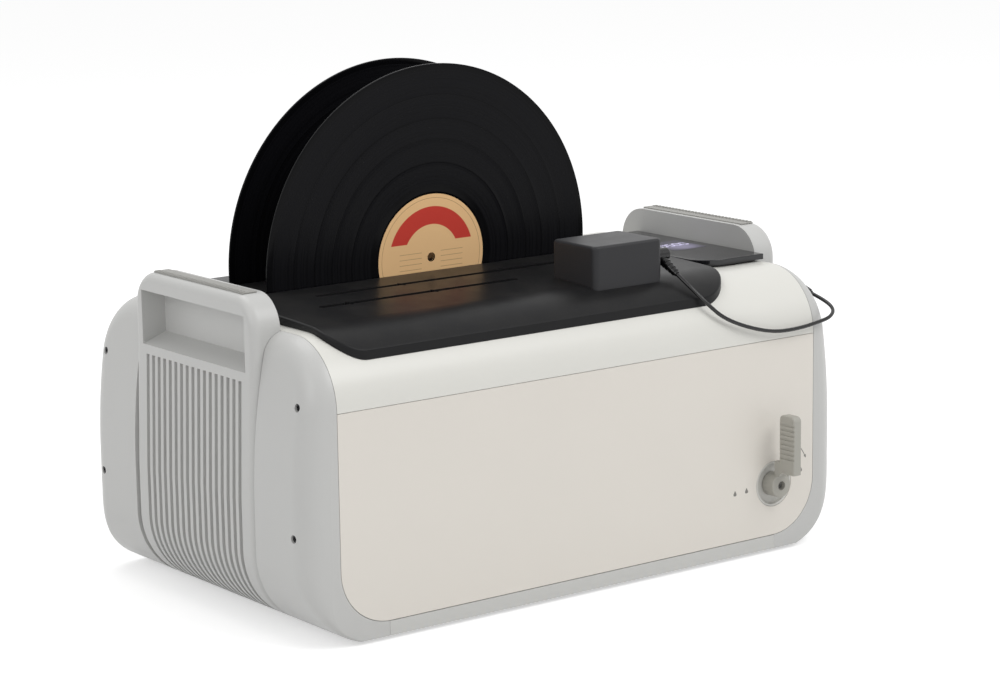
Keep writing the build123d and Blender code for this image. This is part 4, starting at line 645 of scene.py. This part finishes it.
# %% [markdown]
# ## Finishes
#
# A material starts as a Principled shader with its even values set on its own sockets. What
# changes over the surface is then fed in from a group.


# %% Start a material
def new_finish(name, **values):
    """A material with one Principled shader whose even values are set by socket name."""
    material = bpy.data.materials.new(name)
    material.use_nodes = True
    shader = material.node_tree.nodes["Principled BSDF"]
    for label, value in values.items():
        shader.inputs[label.replace("_", " ")].default_value = value
    return material, material.node_tree, shader


def placed(tree, group, **values):
    """The group as a node in this tree, with its own input values."""
    node = tree.nodes.new("ShaderNodeGroup")
    node.node_tree = group
    for label, value in values.items():
        joined(tree, node.inputs[label.replace("_", " ")], value)
    return node.outputs


def raised(tree, shader, height, distance, strength=1.0):
    """A height fed to the shader as a bump of at most that distance in metres."""
    bump = tree.nodes.new("ShaderNodeBump")
    bump.inputs["Distance"].default_value = distance
    bump.inputs["Strength"].default_value = strength
    joined(tree, bump.inputs["Height"], height)
    joined(tree, shader.inputs["Normal"], bump.outputs["Normal"])


def dress(material, *nodes):
    """Gives the material to every slot of those solids."""
    for name in nodes:
        for place in frame["nodes"][name].material_slots:
            place.material = material


# %% [markdown]
# ### Painted and moulded plastic
#
# The end caps are a cool satin grey, the front panel a warm ivory, and the cover a paler and
# glossier one. Rubber and small black mouldings are the same effect with a coarser grain. One
# table of values makes them all.


# %% Plastic and rubber
def plastic(name, colour, roughness, grain=2600.0, depth=0.00002, tone=0.03, specular=0.5, **more):
    """Moulded skin in one colour: a slow tone, a slow gloss and a fine grain."""
    material, tree, shader = new_finish(name, Specular_IOR_Level=specular, **more)
    skin = placed(
        tree,
        moulded_skin,
        Colour=linear(*colour),
        Roughness=roughness,
        Tone_Spread=tone,
        Grain_Scale=grain,
    )
    joined(tree, shader.inputs["Base Color"], skin["Colour"])
    joined(tree, shader.inputs["Roughness"], skin["Roughness"])
    raised(tree, shader, skin["Height"], depth)
    return material


cap_grey = plastic("cap_grey", (194, 194, 192), 0.36)
panel_ivory = plastic("panel_ivory", (224, 219, 211), 0.42)
cover_ivory = plastic("cover_ivory", (221, 220, 214), 0.32)
tray_grey = plastic("tray_grey", (200, 200, 197), 0.5)
pad_grey = plastic("pad_grey", (156, 155, 151), 0.62, grain=1500.0, depth=0.00004)
hub_grey = plastic("hub_grey", (203, 202, 197), 0.4)
lever_grey = plastic("lever_grey", (166, 164, 156), 0.5)
foot_rubber = plastic("foot_rubber", (40, 40, 42), 0.85, grain=1200.0, depth=0.00005)
seal_rubber = plastic("seal_rubber", (52, 52, 54), 0.8, grain=1500.0, depth=0.00004)
roller_rubber = plastic("roller_rubber", (84, 84, 86), 0.75, grain=1500.0, depth=0.00004)
belt_rubber = plastic("belt_rubber", (30, 30, 31), 0.7, grain=1800.0, depth=0.00004)
pipe_plastic = plastic("pipe_plastic", (206, 208, 206), 0.3, depth=0.00001)
pulley_plastic = plastic("pulley_plastic", (222, 220, 212), 0.45)
lead_pvc = plastic("lead_pvc", (10, 10, 11), 0.2, grain=1800.0, depth=0.000004)
print("made", len(bpy.data.materials), "materials so far")

# %% [markdown]
# ### Dark plastic
#
# The deck and the motor box are dark and satin. They take the moulded skin too, and a little
# dust on top of it, so that their flat tops read as surfaces and not as holes.


# %% Dark plastic with dust
def dark_plastic(name, colour, roughness, specular, dust, grain=2200.0, depth=0.00002):
    """Moulded skin under settled dust."""
    material, tree, shader = new_finish(name, Specular_IOR_Level=specular)
    skin = placed(
        tree,
        moulded_skin,
        Colour=linear(*colour),
        Roughness=roughness,
        Tone_Spread=0.16,
        Gloss_Spread=0.12,
        Grain_Scale=grain,
    )
    dusted = placed(tree, settled_dust, Colour=skin["Colour"], Amount=dust)
    rough = sum_of(tree, "ADD", skin["Roughness"], dusted["Mask"], clamp=True)
    joined(tree, shader.inputs["Base Color"], dusted["Colour"])
    joined(tree, shader.inputs["Roughness"], rough)
    raised(tree, shader, skin["Height"], depth)
    return material


deck_black = dark_plastic("deck_black", (27, 27, 28), 0.34, 0.14, 0.06)
box_charcoal = dark_plastic("box_charcoal", (48, 48, 50), 0.4, 0.22, 0.06)
fitting_black = dark_plastic("fitting_black", (28, 28, 30), 0.45, 0.35, 0.05)
panel_gloss = dark_plastic("panel_gloss", (24, 24, 27), 0.1, 0.5, 0.04, grain=400.0, depth=0.000002)
print("deck and box are dark")

# %% [markdown]
# ### Metal
#
# The bath is brushed stainless steel, shafts and screws are plain steel, the valve is brass, and
# the transducers are aluminium. Each is fully metallic, with the brushing fed to its roughness.


# %% Metals
def metal(name, colour, roughness, stretch=(12.0, 900.0, 900.0), scratch=0.25, depth=0.00001):
    """A metal with a brushed roughness and height."""
    material, tree, shader = new_finish(name, Base_Color=linear(*colour), Metallic=1.0)
    brushed = placed(tree, brushed_metal, Stretch=stretch, Roughness=roughness, Scratch=scratch)
    joined(tree, shader.inputs["Roughness"], brushed["Roughness"])
    raised(tree, shader, brushed["Height"], depth)
    return material


stainless = metal("stainless", (196, 197, 198), 0.28)
shaft_steel = metal("shaft_steel", (188, 188, 190), 0.24, stretch=(900.0, 14.0, 900.0))
screw_steel = metal("screw_steel", (62, 62, 64), 0.36, stretch=(900.0, 900.0, 900.0))
valve_brass = metal("valve_brass", (196, 164, 96), 0.34, stretch=(900.0, 20.0, 900.0))
transducer_metal = metal("transducer_metal", (190, 190, 192), 0.4, stretch=(900.0, 900.0, 30.0))
core_steel = metal("core_steel", (120, 118, 116), 0.45, stretch=(30.0, 30.0, 1800.0), scratch=0.5)
print("made", len(bpy.data.materials), "materials so far")


# %% [markdown]
# ### Circuit board
#
# The board is green solder mask over glass weave: two crossed waves give the weave.


# %% Circuit board
def board_finish():
    """Green lacquer whose height is the product of two waves, one each way across the board."""
    material, tree, shader = new_finish("board_green", Specular_IOR_Level=0.5)
    skin = placed(tree, moulded_skin, Colour=linear(28, 92, 56), Roughness=0.3, Tone_Spread=0.2)
    parts = tree.nodes.new("ShaderNodeSeparateXYZ")
    joined(tree, parts.inputs[0], object_place(tree))
    waves = [
        sum_of(tree, "SINE", sum_of(tree, "MULTIPLY", parts.outputs[way], 5200.0)) for way in "YZ"
    ]
    joined(tree, shader.inputs["Base Color"], skin["Colour"])
    joined(tree, shader.inputs["Roughness"], skin["Roughness"])
    raised(tree, shader, sum_of(tree, "MULTIPLY", *waves), 0.00001)
    return material


board_green = board_finish()
print("made", board_green.name)


# %% [markdown]
# ### Grooved vinyl
#
# A record is almost black, and all that is seen of it is gloss. Grooves bend that gloss into
# soft spokes that run out from the label. Tracks catch the light a little differently, and that
# is painted into their colour as a sheen, lighter or darker track by track. The wave of the
# rings group is the groove, faded out at the rim, in the smooth rings and round the label.


# %% Vinyl
def vinyl_finish(name, spin_joint):
    """Black gloss with a wave of grooves as height, only between the label and the rim, and a
    painted sheen that lightens or darkens the colour from track to track.
    """
    centre = JOINTS[spin_joint]["pos_m"]
    material, tree, shader = new_finish(name, Specular_IOR_Level=0.08)
    rings = placed(tree, cut_rings, Centre=centre)
    distance = rings["Distance"]
    band = sum_of(
        tree,
        "MULTIPLY",
        ramp_of(tree, distance, 0.056, 0.058),
        ramp_of(tree, distance, 0.1455, 0.1465, 1.0, 0.0),
    )
    for ring in TRACK_RINGS:
        away = sum_of(tree, "ABSOLUTE", sum_of(tree, "SUBTRACT", distance, ring))
        clear = ramp_of(tree, away, RING_WIDTH * 0.3, RING_WIDTH * 0.6)
        band = sum_of(tree, "MULTIPLY", band, clear)
    grooved = sum_of(tree, "MULTIPLY", rings["Wave"], band)
    # Painted sheen: the track value lightens the black of some tracks, standing in for the light the
    # grooves catch; it also sets the roughness.
    tone = sum_of(tree, "MULTIPLY", rings["Track Sheen"], band)
    joined(
        tree,
        shader.inputs["Base Color"],
        blend_of(tree, tone, linear(11, 11, 13), linear(20, 20, 23)),
    )
    joined(tree, shader.inputs["Roughness"], ramp_of(tree, tone, 0.0, 0.9, 0.18, 0.36))
    raised(tree, shader, grooved, 0.000009)
    return material


for side in ("front", "rear"):
    vinyl = vinyl_finish(f"{side}_vinyl", f"{side}_record_spin")
    bpy.data.objects[f"{side}_vinyl"].data.materials.append(vinyl)
    print("grooved", vinyl.name)


# %% [markdown]
# ### Label paper
#
# The label is uncoated tan paper with a generic print: a thin ring near its edge, a brick red
# arc across its upper half, and a few ruled lines. Everything is placed by the distance from the
# spindle and the two directions across the label.


# %% Labels
RED_ARC = (0.026, 0.040)
RED_ARC_LOW = 0.012
EDGE_RING = 0.0465
EDGE_RING_WIDTH = 0.0003
RULE_PITCH = 0.0042
RULE_HALF = 0.00014
RULE_GAP = 0.009
RULE_REACH = 0.030
RULES_LOW = -0.026
RULES_HIGH = 0.0065


def between(tree, value, low, high, soft=0.0002):
    """1 where the value lies between low and high, and 0 outside."""
    return sum_of(
        tree,
        "MULTIPLY",
        ramp_of(tree, value, low - soft, low + soft),
        ramp_of(tree, value, high - soft, high + soft, 1.0, 0.0),
    )


def label_finish(name, spin_joint):
    """Tan paper, then a red arc, then dark rings and rules, each laid over the last by its mask."""
    centre = Vector(JOINTS[spin_joint]["pos_m"])
    material, tree, shader = new_finish(name, Specular_IOR_Level=0.3)
    rings = placed(tree, cut_rings, Centre=centre)
    centred = tree.nodes.new("ShaderNodeMapping")
    centred.inputs["Location"].default_value = -centre
    joined(tree, centred.inputs["Vector"], object_place(tree))
    parts = tree.nodes.new("ShaderNodeSeparateXYZ")
    joined(tree, parts.inputs[0], centred.outputs[0])
    across, upward = parts.outputs["X"], parts.outputs["Z"]
    distance = rings["Distance"]
    arc = sum_of(
        tree,
        "MULTIPLY",
        between(tree, distance, *RED_ARC),
        ramp_of(tree, upward, RED_ARC_LOW - 0.0002, RED_ARC_LOW + 0.0002),
    )
    ring = between(tree, distance, EDGE_RING, EDGE_RING + EDGE_RING_WIDTH, soft=0.0001)
    rule = sum_of(tree, "PINGPONG", upward, RULE_PITCH / 2)
    ruled = ramp_of(tree, rule, RULE_HALF * 0.6, RULE_HALF * 1.4, 1.0, 0.0)
    sideways = sum_of(tree, "ABSOLUTE", across)
    ruled = sum_of(tree, "MULTIPLY", ruled, between(tree, sideways, RULE_GAP, RULE_REACH))
    ruled = sum_of(tree, "MULTIPLY", ruled, between(tree, upward, RULES_LOW, RULES_HIGH))
    paper = placed(
        tree,
        moulded_skin,
        Colour=linear(243, 200, 146),
        Tone_Spread=0.08,
        Roughness=0.7,
        Grain_Scale=3000.0,
    )
    printed = blend_of(tree, arc, paper["Colour"], linear(205, 62, 50))
    dark = sum_of(tree, "MAXIMUM", ring, ruled)
    printed = blend_of(tree, dark, printed, linear(160, 124, 90))
    joined(tree, shader.inputs["Base Color"], printed)
    joined(tree, shader.inputs["Roughness"], paper["Roughness"])
    raised(tree, shader, paper["Height"], 0.00003)
    return material


for side in ("front", "rear"):
    dress(label_finish(f"{side}_label", f"{side}_record_spin"), f"{side}_record_labels")
    print("printed the", side, "labels")


# %% [markdown]
# ### Lit display
#
# The display is dark glass with a faint violet glow, and its digits are lit. A glow is light that
# a surface gives off, so it is fed to the shader's emission.


# %% Display
GLOW_DROP = 0.006
GLOW_REACH = (0.004, 0.020)


def display_finish():
    """Dark glass with a faint emission that fades from the middle to the rim of the window."""
    middle = (display_low + display_high) / 2
    material, tree, shader = new_finish(
        "display_glow", Base_Color=linear(20, 18, 26), Roughness=0.08, Emission_Strength=0.6
    )
    rings = placed(tree, cut_rings, Centre=(middle.x, middle.y - GLOW_DROP, display_high.z))
    share = ramp_of(tree, rings["Distance"], *GLOW_REACH)
    glow = blend_of(tree, share, linear(150, 144, 176), linear(60, 56, 76))
    joined(tree, shader.inputs["Emission Color"], glow)
    return material


display_glow = display_finish()
digit_light = plastic(
    "digit_light",
    (210, 205, 240),
    0.4,
    Emission_Color=linear(226, 222, 246),
    Emission_Strength=0.55,
)
sign_ink = plastic("sign_ink", (128, 126, 121), 0.5)
dress(display_glow, "display_window")
digits.data.materials.append(digit_light)
for sign in signs:
    sign.data.materials.append(sign_ink)
lead.data.materials.append(lead_pvc)
print("made", len(bpy.data.materials), "materials")

# %% [markdown]
# ## Dressing the solids
#
# Every solid now takes its finish. The list is also a parts list of the machine.

# %% Dress every solid
FINISHES = [
    (cap_grey, "left_end_cap right_end_cap left_handle right_handle"),
    (panel_ivory, "front_panel rear_panel"),
    (cover_ivory, "top_cover"),
    (tray_grey, "base_tray"),
    (pad_grey, "left_grip_pad right_grip_pad"),
    (hub_grey, "valve_escutcheon hose_spigot"),
    (lever_grey, "drain_lever"),
    (foot_rubber, "rubber_feet"),
    (seal_rubber, "bath_gasket"),
    (roller_rubber, "drive_rollers idler_rollers"),
    (belt_rubber, "drive_belt"),
    (pipe_plastic, "drain_pipe outlet_pipe"),
    (pulley_plastic, "shaft_pulley motor_pulley"),
    (lead_pvc, "motor_plug lead_plug"),
    (deck_black, "lid_deck"),
    (box_charcoal, "motor_housing"),
    (fitting_black, "drive_hanger idler_hanger motor_socket lead_socket fan_frame fan_impeller"),
    (fitting_black, "mains_inlet switch_bezel power_rocker"),
    (panel_gloss, "control_panel"),
    (stainless, "bath board_bracket"),
    (shaft_steel, "drive_shaft idler_shaft lever_screw gear_motor"),
    (screw_steel, "left_cap_screws right_cap_screws"),
    (valve_brass, "drain_valve"),
    (transducer_metal, "transducers"),
    (core_steel, "transformer"),
    (board_green, "generator_board"),
]
for finish, names in FINISHES:
    dress(finish, *names.split())
print("dressed", sum(len(names.split()) for _, names in FINISHES), "solids")

# %% [markdown]
# ## The studio
#
# The machine stands on a pale floor in soft light. A big lamp above and to the right gives the
# forms their shading, a weaker one opens up the left end, a third lights the tops from behind, and
# the sky fills the rest. The floor adds a little light of its own where the camera or a reflection
# sees it, so that it reads as white and still shows the soft shadow under the machine.

# %% Floor
FLOOR_REACH = 14.0
FLOOR_TONE = 0.74
FLOOR_GLOW = 0.5


def floor_finish():
    """A pale diffuse floor plus a glow that only the camera, reflections and glass see."""
    material = bpy.data.materials.new("studio_floor")
    material.use_nodes = True
    tree = material.node_tree
    tree.nodes.clear()
    diffuse = tree.nodes.new("ShaderNodeBsdfDiffuse")
    diffuse.inputs["Color"].default_value = (FLOOR_TONE, FLOOR_TONE, FLOOR_TONE, 1)
    glow = tree.nodes.new("ShaderNodeEmission")
    glow.inputs["Color"].default_value = (1, 1, 1, 1)
    rays = tree.nodes.new("ShaderNodeLightPath").outputs
    seen = sum_of(tree, "MAXIMUM", rays["Is Camera Ray"], rays["Is Glossy Ray"])
    seen = sum_of(tree, "MAXIMUM", seen, rays["Is Transmission Ray"])
    joined(tree, glow.inputs["Strength"], sum_of(tree, "MULTIPLY", seen, FLOOR_GLOW))
    total = tree.nodes.new("ShaderNodeAddShader")
    joined(tree, total.inputs[0], diffuse.outputs[0])
    joined(tree, total.inputs[1], glow.outputs[0])
    output = tree.nodes.new("ShaderNodeOutputMaterial")
    joined(tree, output.inputs["Surface"], total.outputs[0])
    return material


reach = np.linspace(-FLOOR_REACH, FLOOR_REACH, 5)
floor_x, floor_y = np.meshgrid(reach, reach)
floor_points = np.stack([floor_x, floor_y, np.zeros_like(floor_x)], axis=-1)
floor = mesh_piece("floor", floor_points, grid_faces(5, 5)[:, ::-1])
floor.data.materials.append(floor_finish())
print("floor is", 2 * FLOOR_REACH, "m across")

# %% Lamps and sky
SKY_STRENGTH = 0.62
LAMPS = [
    # Name, place, side and power.
    ("key_lamp", (0.9, -1.9, 2.3), 1.6, 30.0),
    ("left_lamp", (-2.4, -0.6, 1.3), 1.4, 10.0),
    ("top_lamp", (-0.2, 0.9, 2.4), 1.4, 12.0),
]


def area_lamp(name, place, aim, size, power):
    """A square soft lamp at a place, turned to face the aim."""
    lamp = bpy.data.lights.new(name, "AREA")
    lamp.shape = "SQUARE"
    lamp.size = size
    lamp.energy = power
    stand = bpy.data.objects.new(name, lamp)
    facing = (Vector(place) - Vector(aim)).to_track_quat("Z", "Y")
    stand.matrix_world = Matrix.Translation(place) @ facing.to_matrix().to_4x4()
    bpy.context.scene.collection.objects.link(stand)


middle = (solid_low + solid_high) / 2
for name, place, side, power in LAMPS:
    area_lamp(name, place, middle, side, power)

sky = bpy.data.worlds.new("studio_sky")
bpy.context.scene.world = sky
sky.use_nodes = True
sky_tree = sky.node_tree
sky_shade = sky_tree.nodes["Background"]
sky_rays = sky_tree.nodes.new("ShaderNodeLightPath").outputs
sky_seen = sum_of(sky_tree, "MAXIMUM", sky_rays["Is Camera Ray"], sky_rays["Is Transmission Ray"])
sky_seen = sum_of(sky_tree, "MAXIMUM", sky_seen, sky_rays["Is Glossy Ray"])
sky_shade.inputs["Color"].default_value = (1, 1, 1, 1)
joined(sky_tree, sky_shade.inputs["Strength"], ramp_of(sky_tree, sky_seen, 0.0, 1.0, SKY_STRENGTH, 1.0))
bpy.context.scene.view_settings.view_transform = "Standard"
print("lamps are lit")
